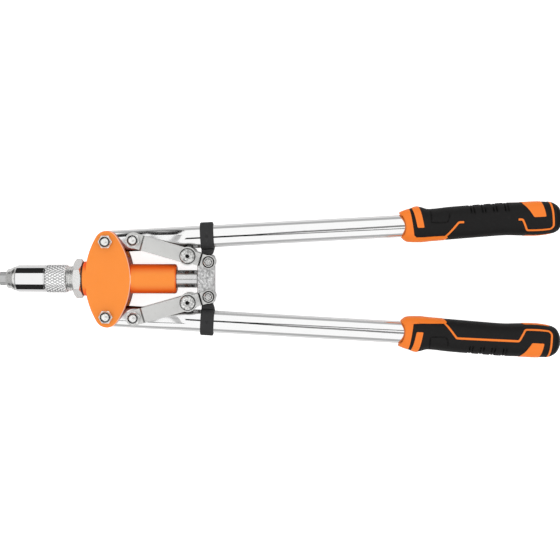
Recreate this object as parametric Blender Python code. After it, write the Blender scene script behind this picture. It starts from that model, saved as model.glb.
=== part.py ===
"""Two-handed lever tool for setting blind rivets, arms closed.

Metres, +Z up. The tool lies flat: +X runs from the nose to the grips, the two
arms spread along Y, and the underside's bolt heads stand on Z = 0. Lengths
along X are counted from the line through the two ear pivots.
"""
import math

import bmesh
import bpy
from mathutils import Euler, Vector

# Clearance between pieces that touch, turn or slide in each other
GAP = 0.0003

# Linkage: pivots of one side, mirrored to the other
PIVOT_Y = 0.0370
ARM_SPLAY = math.radians(3.15)
CRANK_LENGTH = 0.0264
YOKE_PIN_X = 0.1007
YOKE_PIN_Y = 0.0172
OPEN_ANGLE = math.radians(45.0)

# Head casting
EAR_RADIUS = 0.0118
EAR_SHIFT_BACK = 0.0006
EAR_SHIFT_IN = 0.0010
EAR_THICKNESS = 0.0087
PLATE_REAR_REACH = 0.0241
PLATE_FRONT_REACH = 0.0209
PLATE_CHAMFER = 0.0009
HUB_HALF_WIDTH = 0.0215
TAIL_END_X = 0.0685
TAIL_RADIUS = 0.01475
TAIL_ROUNDING = 0.0020
NECK_LENGTH = 0.0035
NECK_RADIUS = 0.0172
NECK_ROUNDING = 0.0018
BUSH_LENGTH = 0.0200
BUSH_WALL = 0.0024

# Nose: threaded stem, locknut, sleeve and nosepiece
STEM_RADIUS = 0.0125
STEM_SOCKET_DEPTH = 0.0270
STEM_FRONT_X = -0.0580
THREAD_DEPTH = 0.0006
THREAD_PITCH = 0.0020
LOCKNUT_FLATS = 0.0346
LOCKNUT_WIDTH = 0.0083
LOCKNUT_CHAMFER = 0.0016
SLEEVE_REAR_X = -0.0405
KNURL_LENGTH = 0.0230
KNURL_RADIUS = 0.0142
SLEEVE_RADIUS = 0.0134
SLEEVE_FRONT_X = -0.0905
SLEEVE_CAVITY_RADIUS = 0.0094
SLEEVE_FRONT_WALL = 0.0045
SLEEVE_EDGE = 0.0008
NOSE_THREAD_RADIUS = 0.0080
NOSE_THREAD_LENGTH = 0.0055
NOSE_FLANGE_RADIUS = 0.0124
NOSE_STEP_RADIUS = 0.0098
NOSE_CONE_LENGTH = 0.0100
NOSE_HEX_FLATS = 0.0120
NOSE_TIP_X = -0.1085
NOSE_BORE_RADIUS = 0.00245
NOSE_TAIL_LENGTH = 0.0066
NOSE_TAIL_RADIUS = 0.0032

# Pull rod, yoke and jaw case
ROD_RADIUS = 0.00875
ROD_BORE_RADIUS = 0.0019
YOKE_LENGTH = 0.0172
YOKE_FRONT_X = 0.0894
YOKE_HALF_WIDTH = 0.0241
YOKE_HALF_HEIGHT = 0.0080
YOKE_CHAMFER = 0.0012
YOKE_SPIGOT_RADIUS = 0.0058
JAW_CASE_LENGTH = 0.0400
JAW_MOUTH_RADIUS = 0.0037
JAW_MOUTH_DEPTH = 0.0020
JAW_CONE_LENGTH = 0.0140
JAW_CAVITY_RADIUS = 0.0065
JAW_LENGTH = 0.0115
JAW_COUNT = 3
JAW_BITE_RADIUS = 0.0013
JAW_SETBACK = 0.0015
PUSHER_LENGTH = 0.0055
CASE_SOCKET_RADIUS = 0.0070
CASE_SOCKET_DEPTH = 0.0100
SPRING_WIRE = 0.0012
SPRING_TURNS = 4

# Arms
TUBE_WIDTH = 0.0223
TUBE_THICKNESS = 0.0160
TUBE_WALL = 0.0017
TUBE_LENGTH = 0.4400
ARM_END_RADIUS = 0.0110
ARM_END_THICKNESS = 0.0130
PRESSED_LENGTH = 0.0400
BLEND_LENGTH = 0.0450
PIVOT_BUSH_WALL = 0.0020

# Links: pairs of joggled plates, tied by a screw
LINK_THICKNESS = 0.0040
LINK_END_RADIUS = 0.0080
LINK_HALF_WIDTH = 0.0076
LINK_SCREW_BACK = 0.0213
LINK_BOSS_RADIUS = 0.0092
LINK_NECK_HALF_WIDTH = 0.0062
LINK_TIP_RADIUS = 0.0068
LINK_STEP = 0.0026
LINK_FRONT_STEP_AT = 0.0106
LINK_REAR_STEP_BACK = 0.0096
LINK_TUBE_CLEARANCE = 0.0010
SPACER_RADIUS = 0.0050
TIE_SCREW_RADIUS = 0.0025
TIE_HEAD_RADIUS = 0.0072
TIE_HEAD_HEIGHT = 0.0032
TIE_SOCKET_FLATS = 0.0040
TIE_SOCKET_DEPTH = 0.0020
TIE_EDGE = 0.0007
TIE_NUT_FLATS = 0.0080
TIE_NUT_HEIGHT = 0.0040
YOKE_BOLT_RADIUS = 0.0030
YOKE_BOLT_FLANGE_RADIUS = 0.0049
YOKE_BOLT_FLANGE_HEIGHT = 0.0014
YOKE_BOLT_HEX_FLATS = 0.0057
YOKE_BOLT_HEAD_HEIGHT = 0.0036
YOKE_BOLT_EDGE = 0.0005
YOKE_NUT_FLATS = 0.0100
YOKE_NUT_HEIGHT = 0.0045

# Hexagon bolts at the ear pivots and the link pivots
BOLT_RADIUS = 0.0040
BOLT_FLATS = 0.0121
BOLT_HEAD_HEIGHT = 0.0050
NUT_HEIGHT = 0.0062
NUT_HEX_HEIGHT = 0.0042
NUT_COLLAR_RADIUS = 0.0051
NUT_COLLAR_EDGE = 0.0005
BOLT_END_RADIUS = 0.0033
BOLT_END_HEIGHT = 0.0012
HEX_CHAMFER = 0.0009

# Rubber bumpers round the arms
BUMPER_START = 0.0925
BUMPER_LENGTH = 0.0132
BUMPER_WALL = 0.0028
BUMPER_NUB_HALF_HEIGHT = 0.0075
BUMPER_NUB_FRONT_SETBACK = 0.0043
BUMPER_NUB_REAR_SETBACK = 0.0025

# Grips
GRIP_LENGTH = 0.1595
GRIP_BEYOND_TUBE = 0.0115
GRIP_HALF_WIDTH = 0.0158
GRIP_HALF_HEIGHT = 0.0160
GRIP_MOUTH_SCOOP = 0.0040
COLLAR_LENGTH = 0.0125
COLLAR_SLANT = 0.0040
COVER_THICKNESS = 0.0024
RIM_LENGTH = 0.0014
END_CAP_LENGTH = 0.0068
END_PLUG_LENGTH = 0.0080

# Swell of the grip over its half size: distance from the mouth, outer side, inner side, faces
GRIP_FRONT_SWELL = (
    (0.0000, -0.0016, -0.0040, -0.0040),
    (0.0045, 0.0000, -0.0002, -0.0020),
    (0.0105, 0.0016, 0.0009, -0.0004),
    (0.0160, 0.0031, 0.0012, 0.0004),
    (0.0205, 0.0024, 0.0014, 0.0006),
    (0.0280, 0.0001, 0.0009, 0.0002),
    (0.0480, 0.0010, 0.0004, -0.0004),
)

# The same towards the end, by the distance from the end
GRIP_END_SWELL = (
    (0.0795, 0.0019, -0.0005, -0.0004),
    (0.0555, 0.0023, -0.0009, -0.0002),
    (0.0395, 0.0019, 0.0002, 0.0000),
    (0.0235, 0.0018, 0.0009, 0.0000),
    (0.0095, 0.0008, -0.0004, -0.0004),
    (0.0035, -0.0042, -0.0042, -0.0030),
    (0.0000, -0.0082, -0.0084, -0.0070),
)

# How far a cutter runs past the face that it cuts
CUT_BEYOND = 0.0030

# Facets round the turned pieces, the small hardware and the tubes
TURNED_FACETS = 28
SMALL_FACETS = 16
HEX_FACETS = 12
TUBE_FACETS = 20
SHARP_ANGLE = math.radians(35.0)

# Values worked out from the sizes above
ARM_HALF = ARM_END_THICKNESS / 2
SLOT_HALF = ARM_HALF + GAP
EAR_OUTER = SLOT_HALF + EAR_THICKNESS
AXIS_HEIGHT = EAR_OUTER + GAP + BOLT_HEAD_HEIGHT
ROD_HOLE_RADIUS = ROD_RADIUS + GAP
LINK_FRONT_Z = ARM_HALF + GAP
LINK_MIDDLE_Z = TUBE_THICKNESS / 2 + LINK_TUBE_CLEARANCE
LINK_REAR_Z = YOKE_HALF_HEIGHT + GAP
YOKE_REAR_X = YOKE_FRONT_X + YOKE_LENGTH
GRIP_ON_TUBE = GRIP_LENGTH - GRIP_BEYOND_TUBE
GRIP_START = TUBE_LENGTH - GRIP_ON_TUBE
GRIP_SWELL = GRIP_FRONT_SWELL + tuple((GRIP_LENGTH - row[0], *row[1:]) for row in GRIP_END_SWELL)
GRIP_END_HALF = GRIP_HALF_WIDTH + GRIP_END_SWELL[-1][2]
TOOL_FRONT = NOSE_TIP_X
TOOL_REAR = (GRIP_START + GRIP_LENGTH) * math.cos(ARM_SPLAY) + GRIP_END_HALF * math.sin(ARM_SPLAY)


def link_pivot(angle):
    """Place of a link's pivot on the upper arm, with the arm opened by an angle."""
    turn = ARM_SPLAY + angle
    return Vector((CRANK_LENGTH * math.cos(turn), PIVOT_Y + CRANK_LENGTH * math.sin(turn), 0))


LINK_LENGTH = (Vector((YOKE_PIN_X, YOKE_PIN_Y, 0)) - link_pivot(0)).length


def yoke_pin_x(angle):
    """Exact place of the yoke's pins along X, with the arms opened by an angle."""
    pivot = link_pivot(angle)
    return pivot.x + math.sqrt(LINK_LENGTH ** 2 - (pivot.y - YOKE_PIN_Y) ** 2)


def link_slope(angle):
    """Exact direction of the upper link, with the arms opened by an angle."""
    return -math.asin((link_pivot(angle).y - YOKE_PIN_Y) / LINK_LENGTH)


ROD_TRAVEL = yoke_pin_x(0) - yoke_pin_x(OPEN_ANGLE)
LINK_REST_SLOPE = link_slope(0)
LINK_FULL_TURN = link_slope(OPEN_ANGLE) - LINK_REST_SLOPE


def yoke_slot_reach(steps=24):
    """How far the link pin strays from its place in the yoke along X and Y.

    Rod and link both move in proportion to the arm, which is exact only when
    the arms are closed or fully open; the yoke's holes leave room for the rest.
    """
    strays = []
    for step in range(steps + 1):
        share = step / steps
        slope = LINK_REST_SLOPE + LINK_FULL_TURN * share
        pin = link_pivot(OPEN_ANGLE * share) + LINK_LENGTH * Vector((math.cos(slope), math.sin(slope), 0))
        strays.append(pin - Vector((YOKE_PIN_X - ROD_TRAVEL * share, YOKE_PIN_Y, 0)))
    return [(min(stray[axis] for stray in strays), max(stray[axis] for stray in strays)) for axis in (0, 1)]


# The nosepiece's tail opens the jaws when the rod is fully forward
NOSE_THREAD_END = SLEEVE_FRONT_X + NOSE_THREAD_LENGTH
NOSE_TAIL_END = NOSE_THREAD_END + NOSE_TAIL_LENGTH
JAW_FRONT_X = NOSE_TAIL_END + GAP + ROD_TRAVEL
JAW_CASE_FRONT_X = JAW_FRONT_X - JAW_MOUTH_DEPTH - JAW_SETBACK
JAW_CASE_REAR_X = JAW_CASE_FRONT_X + JAW_CASE_LENGTH
CONE_SLOPE = (JAW_CAVITY_RADIUS - JAW_MOUTH_RADIUS) / JAW_CONE_LENGTH


def material(name, color, roughness, metallic=0.0):
    """A plain surface in one colour."""
    made = bpy.data.materials.new(name)
    made.use_nodes = True
    shader = made.node_tree.nodes["Principled BSDF"]
    shader.inputs["Base Color"].default_value = (*color, 1.0)
    shader.inputs["Roughness"].default_value = roughness
    shader.inputs["Metallic"].default_value = metallic
    return made


def marker(name, parent=None, location=(0, 0, 0)):
    """An empty that carries the pieces of one moving group."""
    empty = bpy.data.objects.new(name, None)
    empty.empty_display_size = 0.01
    empty.location = location
    empty.parent = parent
    bpy.context.scene.collection.objects.link(empty)
    return empty


def place(shape, name, surface, parent, location=(0, 0, 0), turn=(0, 0, 0)):
    """Turns a bmesh into a named object under its parent, shaded smooth between sharp edges."""
    bmesh.ops.recalc_face_normals(shape, faces=shape.faces)
    mesh = bpy.data.meshes.new(name)
    shape.to_mesh(mesh)
    shape.free()
    mesh.shade_smooth()
    mesh.set_sharp_from_angle(angle=SHARP_ANGLE)
    if surface:
        mesh.materials.append(surface)
    piece = bpy.data.objects.new(name, mesh)
    piece.location = location
    piece.rotation_euler = turn
    piece.parent = parent
    bpy.context.scene.collection.objects.link(piece)
    return piece


def combine(piece, tool_shape, operation, parent, location=(0, 0, 0), turn=(0, 0, 0)):
    """Cuts a bmesh out of a piece, or joins it on, with a Boolean modifier."""
    name = f"{piece.name}_{operation.lower()}_{len(piece.modifiers)}"
    tool_piece = place(tool_shape, name, None, parent, location, turn)
    tool_piece.hide_render = True
    tool_piece.display_type = "WIRE"
    step = piece.modifiers.new(name, "BOOLEAN")
    step.operation = operation
    step.solver = "EXACT"
    step.object = tool_piece


def rings_to_solid(rings, closed):
    """Skins a run of equal rings of points; closed joins the last ring to the first."""
    shape = bmesh.new()
    made = [[shape.verts.new(point) for point in ring] for ring in rings]
    pairs = list(zip(made, made[1:]))
    if closed:
        pairs.append((made[-1], made[0]))
    else:
        shape.faces.new(made[0])
        shape.faces.new(made[-1])
    for first, second in pairs:
        for index in range(len(first)):
            after = (index + 1) % len(first)
            shape.faces.new((first[index], first[after], second[after], second[index]))
    return shape


def turned(profile, facets=TURNED_FACETS, upright=False, bored=True):
    """Turns a profile of (distance along the axis, radius) about X, or about Z when upright."""
    rings = []
    for along, radius in profile:
        ring = []
        for index in range(facets):
            angle = math.tau * (index + 0.5) / facets
            across = (radius * math.cos(angle), radius * math.sin(angle))
            ring.append((*across, along) if upright else (along, *across))
        rings.append(ring)
    return rings_to_solid(rings, closed=bored)


def prism(outline, low, high):
    """Extrudes an outline in X and Y between two heights."""
    return rings_to_solid([[(x, y, z) for x, y in outline] for z in (low, high)], closed=False)


def arc(centre, radius, start, end, steps):
    """Points on an arc between two angles in degrees."""
    points = []
    for step in range(steps + 1):
        angle = math.radians(start + (end - start) * step / steps)
        points.append((centre[0] + radius * math.cos(angle), centre[1] + radius * math.sin(angle)))
    return points


def hexagon(flats):
    """Corners of a hexagon by its width across flats, with two flats facing -Y and +Y."""
    return arc((0, 0), flats / math.sqrt(3), 0, 300, 5)


def oval(half_out, half_in, half_height, power, facets=TUBE_FACETS):
    """Points (y, z) of a rounded section whose +Y and -Y sides may differ."""
    points = []
    for index in range(facets):
        angle = math.tau * index / facets
        wide, high = math.cos(angle), math.sin(angle)
        reach = half_out if wide > 0 else half_in
        y = reach * math.copysign(abs(wide) ** (2 / power), wide)
        z = half_height * math.copysign(abs(high) ** (2 / power), high)
        points.append((y, z))
    return points


def hexed(flats, levels, closed, facets=HEX_FACETS, upright=True):
    """A hexagonal solid along Z, or along X when not upright, turned down to a circle at each level.

    Levels are (distance along the axis, radius); the count of facets is a multiple of 12.
    """
    rings = []
    for along, limit in levels:
        ring = []
        for index in range(facets):
            angle = math.tau * index / facets
            from_flat = angle % (math.pi / 3) - math.pi / 6
            reach = min(flats / 2 / math.cos(from_flat), limit)
            across = (reach * math.cos(angle), reach * math.sin(angle))
            ring.append((*across, along) if upright else (along, *across))
        rings.append(ring)
    return rings_to_solid(rings, closed=closed)


def chamfered_hex(flats, low, high, chamfers, bore=0.0, facets=HEX_FACETS, upright=True):
    """A hexagonal prism whose corners are turned off by the chamfers of its two ends."""
    corner = flats / math.sqrt(3)
    chamfer_low, chamfer_high = chamfers
    levels = [(low, flats / 2 if chamfer_low else corner), (low + chamfer_low, corner)]
    levels += [(high - chamfer_high, corner), (high, flats / 2 if chamfer_high else corner)]
    if bore:
        levels += [(high, bore), (low, bore)]
    return hexed(flats, levels, bool(bore), facets, upright)


def collared_nut(low, high):
    """Lock nut of a pivot bolt: a chamfered hexagon with a round collar on top."""
    corner = BOLT_FLATS / math.sqrt(3)
    shoulder = low + NUT_HEX_HEIGHT
    bore = BOLT_RADIUS + GAP
    levels = [
        (low, corner), (shoulder - HEX_CHAMFER, corner), (shoulder, BOLT_FLATS / 2),
        (shoulder, NUT_COLLAR_RADIUS), (high - NUT_COLLAR_EDGE, NUT_COLLAR_RADIUS),
        (high, NUT_COLLAR_RADIUS - NUT_COLLAR_EDGE), (high, bore), (low, bore),
    ]
    return hexed(BOLT_FLATS, levels, True, 2 * HEX_FACETS)


def flank(reach, corner_x, corner_y, corner_radius):
    """Arc centred on X that passes its reach and is tangent to a corner circle.

    Returns the centre's x, the radius, and the angle in degrees of the tangent point.
    """
    room = reach - corner_radius
    centre = (room ** 2 - corner_x ** 2 - corner_y ** 2) / (2 * (room - corner_x))
    return centre, reach - centre, math.degrees(math.atan2(corner_y, corner_x - centre))


def plate_outline():
    """Almond-shaped outline of the head, seen from above."""
    ear_x = EAR_SHIFT_BACK
    ear_y = PIVOT_Y - EAR_SHIFT_IN
    rear_centre, rear_radius, rear_angle = flank(PLATE_REAR_REACH, ear_x, ear_y, EAR_RADIUS)
    front_centre, front_radius, front_angle = flank(PLATE_FRONT_REACH, -ear_x, ear_y, EAR_RADIUS)
    half = arc((rear_centre, 0), rear_radius, 0, rear_angle, 9)
    half += arc((ear_x, ear_y), EAR_RADIUS, rear_angle, 180 - front_angle, 10)[1:]
    half += arc((-front_centre, 0), front_radius, 180 - front_angle, 180, 7)[1:]
    return half + [(x, -y) for x, y in reversed(half[1:-1])]


def chamfered_prism(outline, half_height, chamfer):
    """A plate centred on Z = 0 with its top and bottom edges chamfered."""
    shape = prism(outline, -half_height, half_height)
    bmesh.ops.recalc_face_normals(shape, faces=shape.faces)
    rims = [edge for edge in shape.edges if abs(edge.verts[0].co.z - edge.verts[1].co.z) < GAP / 10]
    bmesh.ops.bevel(shape, geom=rims, offset=chamfer, segments=1, affect="EDGES")
    return shape


def box(low, high):
    """A box between two corners."""
    corners = [(low[0], low[1]), (high[0], low[1]), (high[0], high[1]), (low[0], high[1])]
    return prism(corners, low[2], high[2])


def rounded_run(along, radius, rounding, forwards, steps=3):
    """Profile points of an outer edge rounded off, at the start or at the end of a run."""
    points = []
    for step in range(steps + 1):
        angle = math.pi / 2 * step / steps
        back = rounding * (1 - math.sin(angle))
        down = rounding * (1 - math.cos(angle))
        points.append((along - back, radius - down) if forwards else (along + back, radius - down))
    return points if forwards else list(reversed(points))


def build_head(parent, paint, bronze):
    """Casting with two pairs of ears, its hub, neck and tail tube, and the rod's bush."""
    plate = chamfered_prism(plate_outline(), EAR_OUTER, PLATE_CHAMFER)
    casting = place(plate, "head_casting", paint, parent)
    tail = [(0, TAIL_RADIUS)] + rounded_run(TAIL_END_X, TAIL_RADIUS, TAIL_ROUNDING, True)
    combine(casting, turned(tail, bored=False), "UNION", parent)
    neck_front = -PLATE_FRONT_REACH - NECK_LENGTH
    neck = rounded_run(neck_front, NECK_RADIUS, NECK_ROUNDING, False)
    neck += [(-PLATE_FRONT_REACH + NECK_ROUNDING, NECK_RADIUS), (0, EAR_OUTER - PLATE_CHAMFER)]
    combine(casting, turned(neck, bored=False), "UNION", parent)
    far = PIVOT_Y + 2 * EAR_RADIUS
    for side in (-1, 1):
        low, high = sorted((side * HUB_HALF_WIDTH, side * far))
        combine(casting, box((-far, low, -SLOT_HALF), (far, high, SLOT_HALF)), "DIFFERENCE", parent)
    stem_end = neck_front + STEM_SOCKET_DEPTH
    bush_start = TAIL_END_X - BUSH_LENGTH
    bore = [
        (neck_front - CUT_BEYOND, STEM_RADIUS + GAP), (stem_end + GAP, STEM_RADIUS + GAP),
        (stem_end + GAP, ROD_HOLE_RADIUS), (bush_start - GAP, ROD_HOLE_RADIUS),
        (bush_start - GAP, ROD_HOLE_RADIUS + BUSH_WALL + GAP),
        (TAIL_END_X + CUT_BEYOND, ROD_HOLE_RADIUS + BUSH_WALL + GAP),
    ]
    combine(casting, turned(bore, bored=False), "DIFFERENCE", parent)
    for side in (-1, 1):
        hole = [(-EAR_OUTER - CUT_BEYOND, BOLT_RADIUS + GAP), (EAR_OUTER + CUT_BEYOND, BOLT_RADIUS + GAP)]
        drill = turned(hole, SMALL_FACETS, upright=True, bored=False)
        combine(casting, drill, "DIFFERENCE", parent, (0, side * PIVOT_Y, 0))
    bush = [
        (bush_start, ROD_HOLE_RADIUS + BUSH_WALL), (TAIL_END_X - GAP, ROD_HOLE_RADIUS + BUSH_WALL),
        (TAIL_END_X - GAP, ROD_HOLE_RADIUS), (bush_start, ROD_HOLE_RADIUS),
    ]
    place(turned(bush), "rod_guide_bush", bronze, parent)


def build_stem(parent, steel):
    """Hollow threaded stem between the head and the nose sleeve."""
    neck_front = -PLATE_FRONT_REACH - NECK_LENGTH
    stem_end = neck_front + STEM_SOCKET_DEPTH
    root = STEM_RADIUS - THREAD_DEPTH
    profile = [(STEM_FRONT_X, STEM_RADIUS - THREAD_DEPTH), (STEM_FRONT_X + THREAD_DEPTH, STEM_RADIUS)]
    crest = SLEEVE_REAR_X + THREAD_PITCH / 2
    while crest < neck_front - LOCKNUT_WIDTH - THREAD_PITCH:
        profile += [(crest, STEM_RADIUS), (crest + THREAD_PITCH / 2, root)]
        crest += THREAD_PITCH
    profile += [(crest, STEM_RADIUS), (stem_end, STEM_RADIUS)]
    profile += [(stem_end, ROD_HOLE_RADIUS), (STEM_FRONT_X, ROD_HOLE_RADIUS)]
    place(turned(profile), "threaded_stem", steel, parent)


def build_locknut(parent, zinc):
    """Hexagon locknut, turned against the neck, one flat facing up."""
    rear = -PLATE_FRONT_REACH - NECK_LENGTH - GAP
    front = rear - LOCKNUT_WIDTH
    chamfers = (LOCKNUT_CHAMFER, LOCKNUT_CHAMFER)
    bore = STEM_RADIUS + GAP
    nut = chamfered_hex(LOCKNUT_FLATS, front, rear, chamfers, bore, 3 * HEX_FACETS, upright=False)
    place(nut, "locknut", zinc, parent)


def build_sleeve(parent, chrome):
    """Nose sleeve: smooth front, larger knurled rear, threaded on the stem and bored for the jaw case."""
    knurl_front = SLEEVE_REAR_X - KNURL_LENGTH
    thread_bore = STEM_RADIUS + GAP
    edge = SLEEVE_EDGE
    stem_stop = STEM_FRONT_X - GAP
    profile = [
        (SLEEVE_FRONT_X, SLEEVE_RADIUS - edge), (SLEEVE_FRONT_X + edge, SLEEVE_RADIUS),
        (knurl_front - edge, SLEEVE_RADIUS), (knurl_front, KNURL_RADIUS - edge),
        (knurl_front + edge, KNURL_RADIUS), (SLEEVE_REAR_X - edge, KNURL_RADIUS),
        (SLEEVE_REAR_X, KNURL_RADIUS - edge), (SLEEVE_REAR_X, thread_bore), (stem_stop, thread_bore),
        (stem_stop, SLEEVE_CAVITY_RADIUS), (SLEEVE_FRONT_X + SLEEVE_FRONT_WALL, SLEEVE_CAVITY_RADIUS),
        (SLEEVE_FRONT_X + SLEEVE_FRONT_WALL, NOSE_THREAD_RADIUS + GAP),
        (SLEEVE_FRONT_X, NOSE_THREAD_RADIUS + GAP),
    ]
    place(turned(profile), "nose_sleeve", chrome, parent)


def build_nosepiece(parent, steel):
    """Nosepiece: hexagon tip, stepped cone, thread, and the tail that opens the jaws."""
    seat = SLEEVE_FRONT_X - GAP
    cone_front = seat - NOSE_CONE_LENGTH
    step = NOSE_CONE_LENGTH / 2
    profile = [
        (cone_front, NOSE_HEX_FLATS / 2), (cone_front + GAP, NOSE_STEP_RADIUS - 2 * GAP),
        (cone_front + step - GAP, NOSE_STEP_RADIUS), (cone_front + step, NOSE_FLANGE_RADIUS - 3 * GAP),
        (seat - 2 * GAP, NOSE_FLANGE_RADIUS), (seat, NOSE_FLANGE_RADIUS - 2 * GAP),
        (seat, NOSE_THREAD_RADIUS), (NOSE_THREAD_END, NOSE_THREAD_RADIUS),
        (NOSE_THREAD_END, NOSE_TAIL_RADIUS + NOSE_TAIL_LENGTH / 8), (NOSE_TAIL_END, NOSE_TAIL_RADIUS),
    ]
    piece = place(turned(profile, bored=False), "nosepiece", steel, parent)
    hex_rear = cone_front + step / 2
    hex_tip = chamfered_hex(NOSE_HEX_FLATS, NOSE_TIP_X, hex_rear, (HEX_CHAMFER, 0), upright=False)
    combine(piece, hex_tip, "UNION", parent)
    bore = [(NOSE_TIP_X - CUT_BEYOND, NOSE_BORE_RADIUS), (NOSE_TAIL_END + CUT_BEYOND, NOSE_BORE_RADIUS)]
    combine(piece, turned(bore, SMALL_FACETS, bored=False), "DIFFERENCE", parent)


def build_drawbar(parent, chrome, steel):
    """Pull rod with its yoke at the rear and the jaw case at the front."""
    spigot_front = JAW_CASE_REAR_X - CASE_SOCKET_DEPTH + GAP
    shoulder = JAW_CASE_REAR_X + GAP
    spigot_radius = CASE_SOCKET_RADIUS - GAP
    rear_shoulder = YOKE_FRONT_X - GAP
    profile = [
        (spigot_front, spigot_radius), (shoulder, spigot_radius), (shoulder, ROD_RADIUS),
        (rear_shoulder, ROD_RADIUS), (rear_shoulder, YOKE_SPIGOT_RADIUS),
        (YOKE_REAR_X, YOKE_SPIGOT_RADIUS), (YOKE_REAR_X, ROD_BORE_RADIUS),
        (spigot_front, ROD_BORE_RADIUS),
    ]
    place(turned(profile), "pull_rod", chrome, parent)
    build_yoke(parent, steel)
    cone_start = JAW_CASE_FRONT_X + JAW_MOUTH_DEPTH
    cone_end = cone_start + JAW_CONE_LENGTH
    socket_front = JAW_CASE_REAR_X - CASE_SOCKET_DEPTH
    case = [
        (JAW_CASE_FRONT_X, ROD_RADIUS - 2 * GAP), (JAW_CASE_FRONT_X + 2 * GAP, ROD_RADIUS),
        (JAW_CASE_REAR_X, ROD_RADIUS), (JAW_CASE_REAR_X, CASE_SOCKET_RADIUS),
        (socket_front, CASE_SOCKET_RADIUS), (socket_front, JAW_CAVITY_RADIUS),
        (cone_end, JAW_CAVITY_RADIUS), (cone_start, JAW_MOUTH_RADIUS),
        (JAW_CASE_FRONT_X, JAW_MOUTH_RADIUS),
    ]
    place(turned(case), "jaw_case", steel, parent)


def yoke_slot():
    """Outline of a hole in the yoke: the link pin, its clearance and its stray."""
    (low_x, high_x), (low_y, high_y) = yoke_slot_reach()
    radius = YOKE_BOLT_RADIUS + GAP
    corners = ((high_x, high_y, 0), (low_x, high_y, 90), (low_x, low_y, 180), (high_x, low_y, 270))
    outline = []
    for x, y, start in corners:
        outline += arc((x, y), radius, start, start + 90, 5)
    return outline


def build_yoke(parent, steel):
    """Yoke block across the rod's end, bored for the rod and for one pin on each side."""
    half_x = YOKE_LENGTH / 2
    centre_x = YOKE_FRONT_X + half_x
    reach = YOKE_HALF_WIDTH
    cut = YOKE_CHAMFER * 1.5
    outline = [
        (half_x, -reach + cut), (half_x, reach - cut), (half_x - cut, reach), (cut - half_x, reach),
        (-half_x, reach - cut), (-half_x, cut - reach), (cut - half_x, -reach), (half_x - cut, -reach),
    ]
    block = chamfered_prism(outline, YOKE_HALF_HEIGHT, YOKE_CHAMFER)
    yoke = place(block, "yoke_block", steel, parent, (centre_x, 0, 0))
    hole = [(-half_x - cut, YOKE_SPIGOT_RADIUS + GAP), (half_x + cut, YOKE_SPIGOT_RADIUS + GAP)]
    combine(yoke, turned(hole, bored=False), "DIFFERENCE", parent, (centre_x, 0, 0))
    for side in (-1, 1):
        slot = [(x, side * y) for x, y in yoke_slot()]
        cutter = prism(slot, -YOKE_HALF_HEIGHT - cut, YOKE_HALF_HEIGHT + cut)
        combine(yoke, cutter, "DIFFERENCE", parent, (YOKE_PIN_X, side * YOKE_PIN_Y, 0))


def build_jaws(parent, drawbar, steel):
    """Three wedge jaws in the case's cone, the pusher behind them and its spring."""
    cone_start = JAW_CASE_FRONT_X + JAW_MOUTH_DEPTH
    steps = 6
    for number in range(JAW_COUNT):
        middle = math.tau * number / JAW_COUNT + math.pi / 2
        rings = []
        for x in (JAW_FRONT_X, JAW_FRONT_X + JAW_LENGTH):
            outer = JAW_MOUTH_RADIUS + CONE_SLOPE * (x - cone_start) - GAP
            ring = []
            for radius, order in ((outer, range(steps + 1)), (JAW_BITE_RADIUS, range(steps, -1, -1))):
                spread = math.pi / JAW_COUNT - GAP / radius
                for step in order:
                    angle = middle + spread * (2 * step / steps - 1)
                    ring.append((x, radius * math.cos(angle), radius * math.sin(angle)))
            rings.append(ring)
        place(rings_to_solid(rings, closed=False), f"jaw_{number + 1}", steel, parent[number])
    pusher_front = JAW_FRONT_X + JAW_LENGTH + GAP
    pusher_rear = pusher_front + PUSHER_LENGTH
    radius = JAW_CAVITY_RADIUS - GAP
    cone_end = cone_start + JAW_CONE_LENGTH
    cylinder_front = max(cone_end, pusher_front + GAP)
    pusher = [
        (pusher_front, radius - CONE_SLOPE * (cylinder_front - pusher_front)), (cylinder_front, radius),
        (pusher_rear, radius), (pusher_rear, ROD_BORE_RADIUS), (pusher_front, ROD_BORE_RADIUS),
    ]
    place(turned(pusher), "jaw_pusher", steel, parent[-1])
    build_spring(drawbar, steel, pusher_rear + GAP, JAW_CASE_REAR_X - CASE_SOCKET_DEPTH)


def build_spring(parent, steel, start, end):
    """Coil spring between the pusher and the rod."""
    radius = JAW_CAVITY_RADIUS - SPRING_WIRE
    sides = 5
    steps = 12 * SPRING_TURNS
    low, high = start + SPRING_WIRE / 2, end - SPRING_WIRE / 2
    rings = []
    for step in range(steps + 1):
        angle = math.tau * SPRING_TURNS * step / steps
        centre_x = low + (high - low) * step / steps
        ring = []
        for side in range(sides):
            tilt = math.tau * side / sides
            reach = radius + SPRING_WIRE / 2 * math.cos(tilt)
            x = centre_x + SPRING_WIRE / 2 * math.sin(tilt)
            ring.append((x, reach * math.cos(angle), reach * math.sin(angle)))
        rings.append(ring)
    place(rings_to_solid(rings, closed=False), "jaw_spring", steel, parent)


def tube_ring(s, inset=0.0):
    """Section of an arm at a distance from its pivot: pressed flat in front, oval behind."""
    blend = min(max((s - PRESSED_LENGTH) / BLEND_LENGTH, 0), 1)
    ease = blend * blend * (3 - 2 * blend)
    half_width = ARM_END_RADIUS + (TUBE_WIDTH / 2 - ARM_END_RADIUS) * ease
    half_height = ARM_HALF + (TUBE_THICKNESS / 2 - ARM_HALF) * ease
    if s < 0:
        half_width = math.sqrt(max(ARM_END_RADIUS ** 2 - s ** 2, 0))
    power = 4.0 - 1.7 * ease
    section = oval(half_width - inset, half_width - inset, half_height - inset, power)
    return [(s, y, z) for y, z in section]


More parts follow.
